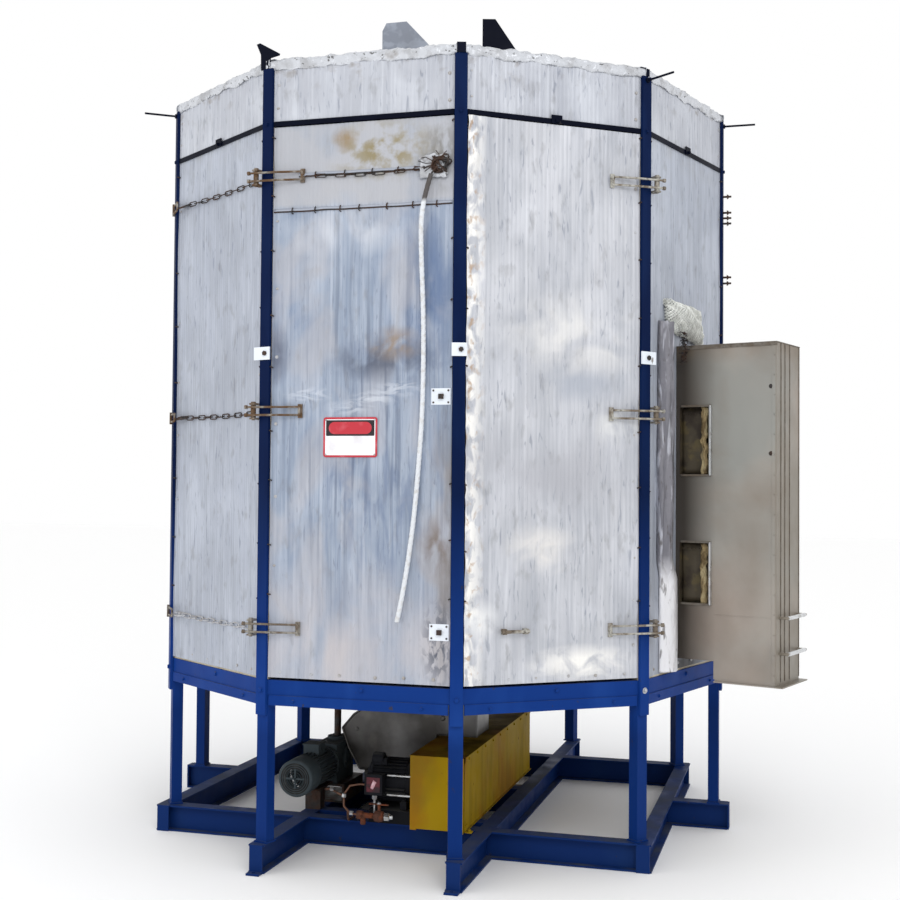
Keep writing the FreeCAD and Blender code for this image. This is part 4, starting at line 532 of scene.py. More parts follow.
def piece(name, shape, look, body="kiln_body", stands_for=(), bevel=0.0, crease=38, thick=0.0):
    """Makes the shape an object that rides on a body and stands for the named parts."""
    mesh = bpy.data.meshes.new(name)
    mesh.from_pydata([tuple(p) for p in shape.points], [], shape.faces)
    if shape.flat:
        layer = mesh.uv_layers.new(name="flat")
        for loop in mesh.loops:
            layer.data[loop.index].uv = shape.flat[loop.vertex_index]
    build = bmesh.new()
    build.from_mesh(mesh)
    bmesh.ops.recalc_face_normals(build, faces=build.faces)
    for edge in build.edges:
        edge.smooth = not (edge.is_manifold and edge.calc_face_angle(0) > math.radians(crease))
    for face in build.faces:
        face.smooth = True
    build.to_mesh(mesh)
    build.free()
    mesh.materials.append(look.material)
    made = bpy.data.objects.new(name, mesh)
    bpy.context.scene.collection.objects.link(made)
    if thick:
        made.modifiers.new("gauge", "SOLIDIFY").thickness = thick
    if bevel:
        rounding = made.modifiers.new("rounding", "BEVEL")
        rounding.width = bevel
        rounding.segments = 2
        rounding.limit_method = "ANGLE"
    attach(made, body)
    if stands_for:
        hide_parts(*stands_for)
    return made


def smooth_step(value):
    value = max(0.0, min(1.0, value))
    return value * value * (3 - 2 * value)


def grid(columns, rows):
    """The four-sided faces of a net whose points are laid row by row."""
    width = columns + 1
    return [(j * width + i, j * width + i + 1, (j + 1) * width + i + 1, (j + 1) * width + i)
            for j in range(rows) for i in range(columns)]


def net(columns, rows):
    """The two shares, from 0 to 1, of every point of such a net."""
    return [(i / columns, j / rows) for j in range(rows + 1) for i in range(columns + 1)]


def clear_of(x, z, keeps):
    """0 inside any kept-flat rectangle and 1 well away from them all."""
    free = 1.0
    for x0, x1, z0, z1 in keeps:
        away = math.hypot(max(x0 - x, x - x1, 0), max(z0 - z, z - z1, 0))
        free = min(free, smooth_step(away / 0.06))
    return free


# ---------------------------------------------------------------- ribbed cladding


def ribbed(left, right, low, high, seed, bulge=0.006, keeps=(), holes=(), dents=(), crumple=None, rows=0.034):
    """One sheet of ribbed jacketing on the front face, its outside about 3 mm proud of the wall plane."""
    per_rib = 5
    columns = max(2, round((right - left) / RIB_PITCH * per_rib))
    levels = max(2, round((high - low) / rows))
    points, flat = [], []
    for j in range(levels + 1):
        z = low + (high - low) * j / levels
        for i in range(columns + 1):
            x = left + (right - left) * i / columns
            free = clear_of(x, z, keeps)
            rib = math.sin(2 * math.pi * x / RIB_PITCH)
            cloud = noise.noise(Vector((x * 2.1 + seed, z * 1.3, seed)))
            cloud += 0.5 * noise.noise(Vector((x * 6, z * 3.1, seed + 7)))
            rise = bulge * max(0.0, 0.5 + cloud)
            for dx, dz, rx, rz, depth in dents:
                rise += depth * math.exp(-((x - dx) / rx) ** 2 - ((z - dz) / rz) ** 2)
            if crumple:
                near = smooth_step(1 - abs(x - crumple[0]) / crumple[1])
                rise += near * crumple[2] * abs(noise.noise(Vector((x * 22, z * 16, seed + 3))))
            out = 0.0012 + free * (0.002 + 0.0007 * rib + max(rise, -0.0008))
            points.append((x, -WALL - out, z))
            flat.append((x, z))
    faces = []
    for corners in grid(columns, levels):
        middle_x = (points[corners[0]][0] + points[corners[2]][0]) / 2
        middle_z = (points[corners[0]][2] + points[corners[2]][2]) / 2
        if not any(x0 < middle_x < x1 and z0 < middle_z < z1 for x0, x1, z0, z1 in holes):
            faces.append(corners)
    return Shape().add(points, faces, flat)


def strap_keeps(hand):
    """The places behind the strap ends of one door, kept flat."""
    low, high = sorted((hand * 0.46, hand * 0.27))
    return [(low, high, level - 0.04, level + 0.04) for level in CLAMPS]


HALF_SHEET = SIDE / 2 - 0.006
walls = Shape()
for number, face_angle in enumerate(FACES):
    if face_angle in (LEFT_DOOR, RIGHT_DOOR):
        continue
    keeps, holes = [], []
    if face_angle == DUCT_FACE:
        keeps = [(-0.33, 0.22, PANEL_LOW, 2.56)]
        holes = [(-0.04, 0.145, 2.05, 2.33), (-0.04, 0.145, 1.01, 1.29)]
    sheet = ribbed(-HALF_SHEET, HALF_SHEET, PANEL_LOW, PANEL_HIGH, 3.7 * number + 11, 0.007, keeps, holes)
    sheet.flat = [(u + FLAT_STEP * number, v) for u, v in sheet.flat]
    walls.include(sheet, turned(face_angle))
piece("wall_cladding", walls, side_cladding, stands_for=["wall_panels"], crease=180)

fascias = Shape()
for number, face_angle in enumerate(FACES):
    sheet = ribbed(-HALF_SHEET, HALF_SHEET, FASCIA_LOW, ROOF_TOP - 0.002, 2.3 * number + 5, 0.003, rows=0.025)
    sheet.flat = [(u + FLAT_STEP * number, v) for u, v in sheet.flat]
    fascias.include(sheet, turned(face_angle))
piece("fascia_cladding", fascias, fascia_cladding, stands_for=["fascia_panels"], crease=180)

DOOR_EDGE, DOOR_LOW, DOOR_TOP = 0.424, 0.870, 3.356
SIGN_KEEP, CHAIN_END_KEEP = (-0.18, 0.09, 1.85, 2.045), (0.30, DOOR_EDGE, 3.09, 3.20)
latch_holes = [(0.366, 0.386, level - 0.012, level + 0.012) for level in LATCHES]
plate_keeps = [(0.325, DOOR_EDGE, level - 0.04, level + 0.04) for level in LATCHES]
left_dents = [
    (0.30, 2.42, 0.14, 0.06, 0.006), (-0.05, 2.27, 0.16, 0.035, 0.005), (0.36, 2.70, 0.05, 0.20, 0.005),
    (-0.30, 2.45, 0.03, 0.25, 0.004), (0.14, 1.72, 0.04, 0.10, 0.004), (-0.24, 2.15, 0.02, 0.05, 0.005)]
left_sheet = ribbed(-DOOR_EDGE, DOOR_EDGE, DOOR_LOW, DOOR_TOP, 41.0, 0.004,
                    strap_keeps(-1) + plate_keeps + [SIGN_KEEP, CHAIN_END_KEEP], latch_holes, left_dents)
piece("left_door_sheet", left_sheet, left_cladding, "left_door", ["left_door_skins"], crease=180)
HANDLE_KEEP = (-0.24, -0.13, 1.06, 1.15)
right_dents = [
    (-0.02, 1.42, 0.22, 0.16, 0.010), (0.10, 2.075, 0.30, 0.022, 0.009), (0.16, 2.45, 0.30, 0.15, 0.009),
    (-0.33, 2.80, 0.03, 0.16, 0.007), (0.12, 1.12, 0.20, 0.03, 0.006), (0.32, 1.97, 0.10, 0.06, 0.007)]
right_sheet = ribbed(-DOOR_EDGE, DOOR_EDGE, DOOR_LOW, DOOR_TOP, 67.0, 0.008, strap_keeps(1) + [HANDLE_KEEP], (),
                     right_dents, (-0.42, 0.11, 0.022)).placed(turned(RIGHT_DOOR))
piece("right_door_sheet", right_sheet, right_cladding, "right_door", ["right_door_skins"], crease=180)


def inner_sheet(left, right):
    """The plain inner face of a door, with a cross-broken middle."""
    cells = 24
    points = []
    for u, v in net(cells, cells):
        break_line = min(abs(u - v), abs(u + v - 1))
        rise = 0.004 * smooth_step(1 - break_line * 6)
        points.append((left + (right - left) * u, -WALL + 0.1025 + rise,
                       DOOR_LOW + 0.006 + (DOOR_TOP - DOOR_LOW - 0.012) * v))
    return Shape().add(points, grid(cells, cells))


for door, left, right, face_angle in (("left_door", -0.410, 0.402, LEFT_DOOR),
                                      ("right_door", -0.402, 0.410, RIGHT_DOOR)):
    piece(door + "_inner_sheet", inner_sheet(left, right).placed(turned(face_angle)), liner, door, [door + "_skins"],
          thick=0.0012)


# ---------------------------------------------------------------- screws, laps and small hooks of the cladding


def edge_screws(angle, low, high, spacing, columns, rows, seed):
    """Hexagon washer-head screws along the upright edges and the level edges of one sheet."""
    picker = random.Random(seed)
    made = Shape()
    place = turned(angle)
    out = place @ Vector((0, -1, 0))
    spots = []
    for x in columns:
        count = int((high - low) / spacing)
        spots += [(x + picker.uniform(-0.003, 0.003), low + spacing * (k + 0.5) + picker.uniform(-0.02, 0.02))
                  for k in range(count)]
    for z in rows:
        spots += [(x / 10 * 0.9 + picker.uniform(-0.012, 0.012), z + picker.uniform(-0.003, 0.003))
                  for x in (-4, -2.4, -0.8, 0.8, 2.4, 4)]
    for x, z in spots:
        made.hexagon(place @ Vector((x, -WALL - 0.004, z)), out, 0.010, 0.005)
    return made


fixed_screws = Shape()
for number, face_angle in enumerate(FACES):
    if face_angle not in (LEFT_DOOR, RIGHT_DOOR):
        fixed_screws.include(edge_screws(face_angle, 0.95, 3.30, 0.29, (-0.405, 0.405), (0.895,), number))
    fixed_screws.include(edge_screws(face_angle, FASCIA_LOW, ROOF_TOP, 0.12, (-0.405, 0.405), (), number + 40))
piece("wall_screws", fixed_screws, zinc)
piece("left_door_screws", edge_screws(LEFT_DOOR, 0.92, 3.30, 0.31, (-0.402,), (0.893,), 70), zinc, "left_door")
piece("right_door_screws", edge_screws(RIGHT_DOOR, 0.92, 3.30, 0.19, (0.402,), (0.893,), 71), zinc, "right_door")

LAPS = ((-0.420, 0.420, 2.973), (-0.300, 0.320, 3.131))
LAP_STEPS, SHADOW_STEPS = 60, 30


def lap_line(left, right, level, steps):
    """Places along the wavy lower edge of an overlapping sheet."""
    for k in range(steps + 1):
        x = left + (right - left) * k / steps
        yield x, level, 0.003 * noise.noise(Vector((x * 9, level, 1)))


laps, lap_shadow = Shape(), Shape()
for lap in LAPS:
    line = list(lap_line(*lap, LAP_STEPS))
    laps.add([(x, -WALL - 0.0062, z + 0.010 + wave) for x, z, wave in line]
             + [(x, -WALL - 0.0110, z - 0.002 + wave) for x, z, wave in line], grid(LAP_STEPS, 1))
    lap_shadow.sweep([(x, -WALL - 0.0075, z - 0.005 + wave) for x, z, wave in lap_line(*lap, SHADOW_STEPS)], 0.0032, 6)
piece("lap_edges", laps, side_cladding, "left_door", thick=0.0015)
hook_places = [(x, 2.973) for x in (-0.33, -0.22, -0.10, -0.01, 0.12, 0.24, 0.35)]
hook_places += [(x, 3.131) for x in (-0.22, -0.08, 0.05, 0.17)]
for x, z in hook_places:
    lap_shadow.sweep([(x + dx, -WALL - out, z + dz) for dx, out, dz in (
        (0, 0.006, 0.012), (0.001, 0.014, 0.008), (0, 0.016, -0.004), (-0.001, 0.012, -0.013), (0.003, 0.007, -0.016))],
        0.0028, 6)
piece("lap_wires", lap_shadow, dark_steel, "left_door")


# ---------------------------------------------------------------- roof edge, roof seams and foil


def crumpled_strip(angle, seed):
    """The folded foil edge of one side of the roof: over the top, round the corner and down the wall."""
    columns, rows = 110, 12
    points = []
    for u, t in net(columns, rows):
        x = (u - 0.5) * (SIDE + 0.02)
        if t < 0.55:
            bow = t / 0.55
            out, z = WALL - 0.09 + 0.098 * bow, CURB_TOP - 0.012 * smooth_step(bow * 3 - 2)
        else:
            bow = (t - 0.55) / 0.45
            out, z = WALL + 0.008 + 0.004 * math.sin(math.pi * bow), CURB_TOP - 0.012 - 0.046 * bow
        wrinkle = noise.noise(Vector((x * 26 + seed, t * 5, seed))) + 0.5 * noise.noise(Vector((x * 70, t * 12, seed)))
        ragged = 0.012 * noise.noise(Vector((x * 12, seed, 4))) if t > 0.8 else 0
        spread = 1 + 0.011 * (out - WALL) * 10
        points.append((x * spread, -out - 0.006 * wrinkle, z + 0.007 * wrinkle + ragged))
    return Shape().add(points, grid(columns, rows)).placed(turned(angle))


edges = Shape()
for number, face_angle in enumerate(FACES):
    edges.include(crumpled_strip(face_angle, 5.1 * number + 2))
piece("roof_edge_foil", edges, foil, stands_for=["roof_flashing"], crease=60, thick=0.0012)

seams = Shape()
for line in (-0.915, -0.46, 0.0, 0.46, 0.915):
    reach = math.sqrt(max(0.0, 1.36 ** 2 - line ** 2)) * 0.97
    route = [(line, -reach + 2 * reach * k / 40,
              ROOF_TOP + 0.004 + 0.0015 * noise.noise(Vector((line * 7, k * 0.7, 2)))) for k in range(41)]
    if abs(line) < 0.1:
        route = [point for point in route if point[1] > -0.64]
    seams.sweep(route, 0.009, 8, profile=lambda t: 1.0 if abs(math.sin(t)) > 0.5 else 1.5)
    for k in range(2, len(route) - 1, 3):
        seams.hexagon((route[k][0] + 0.03, route[k][1], ROOF_TOP), (0, 0, 1), 0.011, 0.005)
piece("roof_seams", seams, roof_sheet)

lip = Shape()
hood_low, hood_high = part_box("vent_hood")
lip_points = [(hood_low.x - 0.03, hood_low.y - 0.03), (hood_high.x + 0.03, hood_low.y - 0.03),
              (hood_high.x + 0.03, hood_high.y + 0.03), (hood_low.x - 0.03, hood_high.y + 0.03)]
for k in range(4):
    (x0, y0), (x1, y1) = lip_points[k], lip_points[(k + 1) % 4]
    grow = -0.014 if k % 2 else 0.014
    lip.box((min(x0, x1) - 0.014, min(y0, y1) - grow, ROOF_TOP),
            (max(x0, x1) + 0.014, max(y0, y1) + grow, ROOF_TOP + 0.004))
    for share in (0.15, 0.5, 0.85):
        lip.hexagon((x0 + (x1 - x0) * share, y0 + (y1 - y0) * share, ROOF_TOP + 0.004), (0, 0, 1), 0.010, 0.005)
piece("hood_flange", lip, galvanised, bevel=0.001)


def wrap_surface():
    """Foil tape bunched down the joint between the wall and the duct, its foot flared and smooth."""
    rows, columns = 190, 26
    points = []
    for j in range(rows + 1):
        v = j / rows
        z = 0.874 + (2.516 - 0.874) * v
        lower = smooth_step((1.40 - z) / 0.10)
        left = -0.318 + 0.026 * lower + 0.012 * noise.noise(Vector((z * 5, 1, 0)))
        right = -0.188 + 0.058 * lower + 0.006 * noise.noise(Vector((z * 6, 2, 0)))
        for i in range(columns + 1):
            u = i / columns
            fold = noise.noise(Vector((u * 6, z * 1.2, 3))) + 0.5 * noise.noise(Vector((u * 14, z * 5, 8)))
            lobe = math.sin(math.pi * u)
            if lower < 0.5:
                lobe = abs(math.sin(math.pi * (u * 2.0 + 0.4 * math.sin(z * 3))))
            body = 0.030 * math.sin(math.pi * min(1, max(0, u))) ** 0.5
            out = WALL + 0.004 + body + 0.022 * lobe * body / 0.030 + 0.012 * fold * (1 - 0.5 * lower)
            points.append((left + (right - left) * u, -max(out, WALL + 0.002), z + 0.004 * fold))
    return Shape().add(points, grid(columns, rows)).placed(turned(DUCT_FACE))


piece("foil_wrap_folds", wrap_surface(), tape_foil, stands_for=["foil_wrap"], crease=50, thick=0.0015)


def mesh_bundle():
    """Expanded metal crushed into a roll at the head of the duct."""
    made = Shape()
    for layer in range(3):
        columns, rows = 20 - 3 * layer, 10
        points = {}
        faces = []

        def corner(i, j):
            if (i, j) not in points:
                u, v = i / (2 * columns), j / (2 * rows)
                x = -0.262 + 0.420 * u + 0.030 * (1 - v)
                z = 2.428 + 0.060 * (1 - u) + (0.190 - 0.050 * (1 - u)) * v
                hump = math.sin(math.pi * u) ** 0.6 * math.sin(math.pi * min(1, max(0.0, v))) ** 0.5
                crush = noise.noise(Vector((u * 5, v * 4, 3 + 5 * layer)))
                lift = 0.010 + (0.045 - 0.014 * layer) * hump + 0.018 * crush
                place = turned(DUCT_FACE) @ Vector((x + 0.01 * crush, -WALL - max(lift, 0.004), z + 0.008 * crush))
                points[(i, j)] = len(made.points)
                made.points.append(place)
            return points[(i, j)]

        for j in range(0, 2 * rows - 1):
            for i in range(j % 2, 2 * columns - 1, 2):
                faces.append((corner(i + 1, j), corner(i + 2, j + 1), corner(i + 1, j + 2), corner(i, j + 1)))
        made.faces += faces
    return made


bundle = piece("mesh_bundle", mesh_bundle(), mesh_metal, stands_for=["mesh_wrap"], crease=180)
strands = bundle.modifiers.new("strands", "WIREFRAME")
strands.thickness = 0.0050
tail = Shape()
for k in range(34):
    picker = random.Random(k + 300)
    x, z = picker.uniform(-0.168, -0.118), picker.uniform(2.33, 2.47)
    centre = Vector((x, -WALL - picker.uniform(0.05, 0.075), z))
    spread = [centre + Vector([picker.uniform(-0.016, 0.016) for _ in range(3)]) for _ in range(4)]
    turned_points = [turned(DUCT_FACE) @ p for p in spread]
    tail.sweep(turned_points, 0.0017, 5, closed=True)
piece("mesh_tail", tail, dark_steel)


# ---------------------------------------------------------------- chains, wire knot and rope


def chain_run(start, middle, end, place, pitch=0.040, wire=0.0052, width=0.017):
    """Twisted-link chain hung over three points."""
    start, middle, end = Vector(start), Vector(middle), Vector(end)
    made = Shape()
    samples = []
    for k in range(201):
        t = k / 200
        samples.append(start * (1 - t) * (1 - 2 * t) + middle * 4 * t * (1 - t) + end * t * (2 * t - 1))
    travelled, last, count = 0.0, samples[0], 0
    for point in samples[1:]:
        travelled += (point - last).length
        if travelled >= pitch * (count + 0.5):
            along = point - last
            face = Vector((0, -1, 0)) if count % 2 else Vector((0, -0.35, 1))
            made.link(point, along, face, pitch + 1.6 * wire, width, wire)
            count += 1
        last = point
    return made.placed(place)


chains = {"upper": CLAMPS[2], "middle": CLAMPS[1], "lower": CLAMPS[0]}
depth = -WALL - 0.014
for chain_name, level in chains.items():
    run = chain_run((-0.335, depth - 0.012, level - 0.004), (0.02, depth, level - 0.010),
                    (0.376, depth, level - 0.006), turned(CHAIN_FACE), 0.058, 0.0056, 0.020)
    for x in (-0.352, -0.318):
        clevis = Shape().link((x, depth - 0.010, level - 0.004), (1, 0, 0), (0, -0.5, 1), 0.056, 0.030, 0.009)
        run.include(clevis, turned(CHAIN_FACE))
    piece("chain_" + chain_name, run, zinc if chain_name == "lower" else dark_steel, stands_for=["tie_chains"])
run = chain_run(*((x, -WALL - 0.012, z) for x, z in ((-0.262, 3.127), (0.04, 3.118), (0.313, 3.133))),
                Matrix.Identity(4), 0.046, 0.0044, 0.015)
piece("chain_on_door", run, dark_steel, "left_door", ["door_chain"])

knot_low, knot_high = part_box("wire_knot")
knot_middle = (knot_low + knot_high) / 2
knot_size = (knot_high - knot_low) / 2
picker = random.Random(17)
knot = Shape()
for turn in range(13):
    normal = Vector([picker.uniform(-1, 1) for _ in range(3)]).normalized()
    across = normal.orthogonal().normalized()
    up = normal.cross(across)
    reach = picker.uniform(0.55, 0.92)
    phase = picker.uniform(0, 6)
    route = []
    for k in range(22):
        t = 2 * math.pi * k / 22
        spot = (across * math.cos(t) + up * math.sin(t)) * reach * (1 + 0.16 * math.sin(3 * t + phase))
        route.append(knot_middle + Vector([spot[a] * knot_size[a] for a in range(3)]))
    knot.sweep(route, picker.choice((0.0022, 0.003, 0.0038)), 6, closed=True)
for x, z in ((-0.085, 0.03), (-0.12, -0.004), (-0.07, -0.03), (0.03, 0.055), (-0.02, 0.06), (-0.10, 0.018)):
    start = knot_middle + Vector((x * 0.3, -0.005, z * 0.3))
    stop = knot_middle + Vector((x, -0.006, z))
    bow = (start + stop) / 2 + Vector((picker.uniform(-0.01, 0.01), -0.006, picker.uniform(-0.012, 0.012)))
    knot.sweep([start, bow, stop], 0.002, 6)
knot.sweep([knot_middle + Vector((-0.01, -0.01, -0.01)), (0.345, -1.424, 3.118), (0.331, -1.4275, 3.098)], 0.004, 8)
piece("knot_wires", knot, dark_steel, "left_door", ["wire_knot"])

scrap_points = []
for u, v in net(18, 14):
    crush = noise.noise(Vector((u * 5, v * 5, 21)))
    scrap_points.append((0.272 + 0.125 * u + 0.012 * crush, -WALL - 0.008 - 0.016 * abs(crush) - 0.004,
                         3.085 + 0.10 * v + 0.016 * crush))
scrap = Shape().add(scrap_points, grid(18, 14))
piece("foil_scrap", scrap, foil, "left_door", crease=50, thick=0.001)

ROPE_POINTS = [
    (0.330, -1.428, 3.096), (0.305, -1.430, 3.020), (0.283, -1.424, 2.900), (0.286, -1.419, 2.720),
    (0.296, -1.416, 2.500), (0.298, -1.414, 2.260), (0.294, -1.414, 2.040), (0.281, -1.416, 1.830),
    (0.264, -1.417, 1.620), (0.238, -1.418, 1.410), (0.206, -1.420, 1.220), (0.188, -1.421, 1.140),
]
route_curve = bpy.data.curves.new("rope_route", "CURVE")
route_curve.dimensions = "3D"
spline = route_curve.splines.new("NURBS")
spline.points.add(len(ROPE_POINTS) - 1)
for control, point in zip(spline.points, ROPE_POINTS):
    control.co = (*point, 1)
spline.order_u = 3
spline.use_endpoint_u = True
spline.resolution_u = 24
route_object = bpy.data.objects.new("rope_route", route_curve)
bpy.context.scene.collection.objects.link(route_object)
bpy.context.view_layer.update()
route_mesh = bpy.data.meshes.new_from_object(route_object)
rope_route = [tuple(vertex.co) for vertex in route_mesh.vertices]
bpy.data.objects.remove(route_object)
rope_length = sum((Vector(b) - Vector(a)).length for a, b in zip(rope_route, rope_route[1:]))
STRAND_TURN = 0.075
rope = Shape().sweep(rope_route, 0.011, 24, profile=lambda t: 0.90 + 0.10 * abs(math.cos(1.5 * t)),
                     twist=2 * math.pi / STRAND_TURN)
rope_piece = piece("pull_rope_strands", rope, rope_fibre, "left_door", ["pull_rope"], crease=180)
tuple(ROPE_POINTS[0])


# ---------------------------------------------------------------- sign, without lettering


def rounded_plate(x0, x1, z0, z1, y, radius, thickness):
    outline = []
    for cx, cz, start in ((x1 - radius, z1 - radius, 0), (x0 + radius, z1 - radius, 90),
                          (x0 + radius, z0 + radius, 180), (x1 - radius, z0 + radius, 270)):
        for k in range(7):
            t = math.radians(start + 15 * k)
            outline.append((cx + radius * math.cos(t), cz + radius * math.sin(t)))
    count = len(outline)
    points = [(x, y, z) for x, z in outline] + [(x, y - thickness, z) for x, z in outline]
    faces = [tuple(range(count)), tuple(range(count, 2 * count))]
    faces += [(k, (k + 1) % count, count + (k + 1) % count, count + k) for k in range(count)]
    return Shape().add(points, faces)


sign_low, sign_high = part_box("sign_plate")
x0, x1, z0, z1 = sign_low.x, sign_high.x, sign_low.z, sign_high.z
front = -WALL - 0.0035
for sign_layer, sides, bottom, top, proud, radius, thickness, look, replaced in (
        ("back", 0, 0, 0, 0, 0.012, 0.0014, sign_red, ["sign_plate"]),
        ("panel", 0.009, 0.009, 0.009, 0.0014, 0.008, 0.0004, sign_white, ()),
        ("band", 0.013, z1 - z0 - 0.083, 0.013, 0.0018, 0.004, 0.0004, sign_black, ()),
        ("field", 0.026, z1 - z0 - 0.075, 0.021, 0.0022, 0.026, 0.0004, sign_red, ())):
    plate = rounded_plate(x0 + sides, x1 - sides, z0 + bottom, z1 - top, front - proud, radius, thickness)
    piece("sign_" + sign_layer, plate, look, "left_door", replaced)
rivets = Shape()
for x in (x0 + 0.012, x1 - 0.012):
    for z in (z0 + 0.012, z1 - 0.012):
        rivets.lathe([(0, 0.0042), (0.001, 0.0042), (0.0022, 0.002)], (x, front - 0.0018, z), (0, -1, 0), 12)
piece("sign_rivets", rivets, zinc, "left_door")


# ---------------------------------------------------------------- bolts, hooks and welds of the frame

painted_bolts, plated_bolts = Shape(), Shape()
for face_angle in FACES:
    place = turned(face_angle)
    out = place @ Vector((0, -1, 0))
    for x, z, across in ((0.02, 0.832, 0.016), (-0.30, 0.768, 0.012), (0.30, 0.768, 0.012)):
        painted_bolts.hexagon(place @ Vector((x, -RING - (0.006 if z < 0.8 else 0), z)), out, across, 0.008)
for corner in CORNERS:
    place = turned(corner)
    out = place @ Vector((0, -1, 0))
    painted_bolts.hexagon(place @ Vector((0, -POST_CIRCLE, 3.371)), out, 0.014, 0.008)
    target = plated_bolts if corner == 54 else painted_bolts
    target.hexagon(place @ Vector((0, -POST_CIRCLE, 0.812)), out, 0.018, 0.009)
piece("frame_bolts", painted_bolts, steel_blue)
piece("plated_bolts", plated_bolts, zinc)

splice_bolts = Shape()
for corner in (-18, 18, 54):
    centre, out = (turned(corner) @ Vector(v) for v in ((0.008, -POST_CIRCLE - 0.007, 2.328), (0, -1, 0)))
    splice_bolts.hexagon(centre, out, 0.020, 0.0095, False)
piece("splice_bolt_heads", splice_bolts, dark_steel)

plate_screws = Shape()
for level in LATCHES:
    for x in (0.340, 0.408):
        for z in (level - 0.026, level + 0.026):
            plate_screws.hexagon((x, -WALL - 0.004, z), (0, -1, 0), 0.008, 0.003, False)
piece("latch_plate_screws", plate_screws, dark_steel, "left_door")

studs = Shape()
far_right = turned(90)
for z in (3.239, 3.156, 3.128, 3.100, 2.821, 2.790):
    foot, middle, tip = (far_right @ Vector((-0.010, -POST_CIRCLE - out, z)) for out in (-0.002, 0.020, 0.042))
    studs.rod(foot, tip, 0.0055, 10)
    studs.hexagon(middle, far_right @ Vector((0, -1, 0)), 0.018, 0.008)
piece("post_studs", studs, dark_steel)

HOOK_BEND = ((-0.004, 0.006, 0), (0.006, 0.004, 0), (0.009, 0.010, -0.002), (0.007, 0.018, -0.003))
HOOKS_PER_SIDE, HOOK_LOW, HOOK_SPACING = 9, 1.22, 0.262
hooks = Shape()
for corner in CORNERS:
    place = turned(corner)
    picker = random.Random(corner + 500)
    for side in (-1, 1):
        for k in range(HOOKS_PER_SIDE):
            z = HOOK_LOW + HOOK_SPACING * k + picker.uniform(-0.03, 0.03)
            if all(abs(z - level) >= 0.075 for level in CLAMPS):
                hooks.sweep([place @ Vector((side * 0.028 + side * x, -POST_CIRCLE + inward, z + drop))
                             for x, inward, drop in HOOK_BEND], 0.0032, 6)
piece("sheet_hooks", hooks, dark_steel)

LEG_SIDE, LEG_OUT, LEG_IN, WELD_STEPS = 0.031, 1.4645, 1.4125, 8
leg_foot = [(-LEG_SIDE, -LEG_OUT), (LEG_SIDE, -LEG_OUT), (LEG_SIDE, -LEG_IN), (-LEG_SIDE, -LEG_IN)]
weld_route = []
for (ax, ay), (bx, by) in zip(leg_foot, leg_foot[1:] + leg_foot[:1]):
    weld_route += [Vector((ax + (bx - ax) * t / WELD_STEPS, ay + (by - ay) * t / WELD_STEPS,
                           0.133 + 0.0012 * math.sin(9 * t))) for t in range(WELD_STEPS)]
welds = Shape()
for corner in CORNERS:
    welds.sweep([turned(corner) @ p for p in weld_route], 0.0035, 6, closed=True)
piece("foot_welds", welds, base_blue)


# ---------------------------------------------------------------- fan motor

MOTOR_Y, DRIVE_Z = -0.800, 0.315
SCREWED_CAP = ((0, 0.019), (0.004, 0.021), (0.026, 0.021), (0.030, 0.019))


def motor_box(shape, low, high):
    """A box whose y and z are counted from the motor's axis."""
    (a, b, c), (d, e, f) = low, high
    return shape.box((a, MOTOR_Y + b, DRIVE_Z + c), (d, MOTOR_Y + e, DRIVE_Z + f))


motor = Shape()
motor.lathe([(0, 0.030), (0, 0.080), (0.010, 0.094), (0.030, 0.098), (0.034, 0.090), (0.196, 0.090), (0.200, 0.098),
             (0.222, 0.094), (0.234, 0.078), (0.236, 0.030)], (-0.132, MOTOR_Y, DRIVE_Z), (1, 0, 0), 40)
fin = Shape().box((-0.096, -0.0022, 0.088), (0.062, 0.0022, 0.104))
for k in range(30):
    if k not in (7, 8, 22, 23):
        motor.include(fin, Matrix.Translation((0, MOTOR_Y, DRIVE_Z)) @ Matrix.Rotation(2 * math.pi * k / 30, 4, "X"))
motor_box(motor, (-0.098, -0.094, -0.124), (-0.066, 0.094, -0.088))
motor_box(motor, (0.040, -0.094, -0.124), (0.072, 0.094, -0.088))
motor.box((-0.110, MOTOR_Y - 0.110, 0.127), (0.094, MOTOR_Y + 0.110, DRIVE_Z - 0.126))
for x in (-0.082, 0.056):
    for y in (-0.082, 0.082):
        motor.hexagon((x, MOTOR_Y + y, DRIVE_Z - 0.088), (0, 0, 1), 0.018, 0.010)
for k in range(4):
    t = math.radians(45 + 90 * k)
    motor.hexagon((-0.132, MOTOR_Y + 0.070 * math.cos(t), DRIVE_Z + 0.070 * math.sin(t)), (-1, 0, 0), 0.012, 0.007)
piece("fan_motor_case", motor, machine_black, stands_for=["fan_motor"], bevel=0.0012)
rail_low, rail_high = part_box("fan_motor")
rail = Shape().box((rail_low.x, MOTOR_Y + 0.038, 0.070), (rail_high.x, MOTOR_Y + 0.110, 0.127))
piece("motor_rail", rail, base_blue, stands_for=["fan_motor"], bevel=0.002)
terminal = Shape()
motor_box(terminal, (-0.116, -0.148, -0.046), (-0.034, -0.094, 0.044))
motor_box(terminal, (-0.120, -0.152, -0.050), (-0.030, -0.148, 0.048))
terminal.lathe([(0, 0.030), (0.006, 0.032), (0.050, 0.032), (0.056, 0.028)],
               (-0.105, MOTOR_Y - 0.055, DRIVE_Z + 0.105), (1, 0, 0), 20)
motor_box(terminal, (-0.108, -0.080, 0.080), (-0.030, -0.030, 0.112))
piece("terminal_box", terminal, machine_black, bevel=0.003)
label = motor_box(Shape(), (-0.108, -0.1535, -0.036), (-0.042, -0.152, 0.034))
piece("label_plate", label, label_maroon, bevel=0.0006)
stripe_corners = ((-0.090, -0.016), (-0.076, -0.022), (-0.058, 0.012), (-0.074, 0.022))
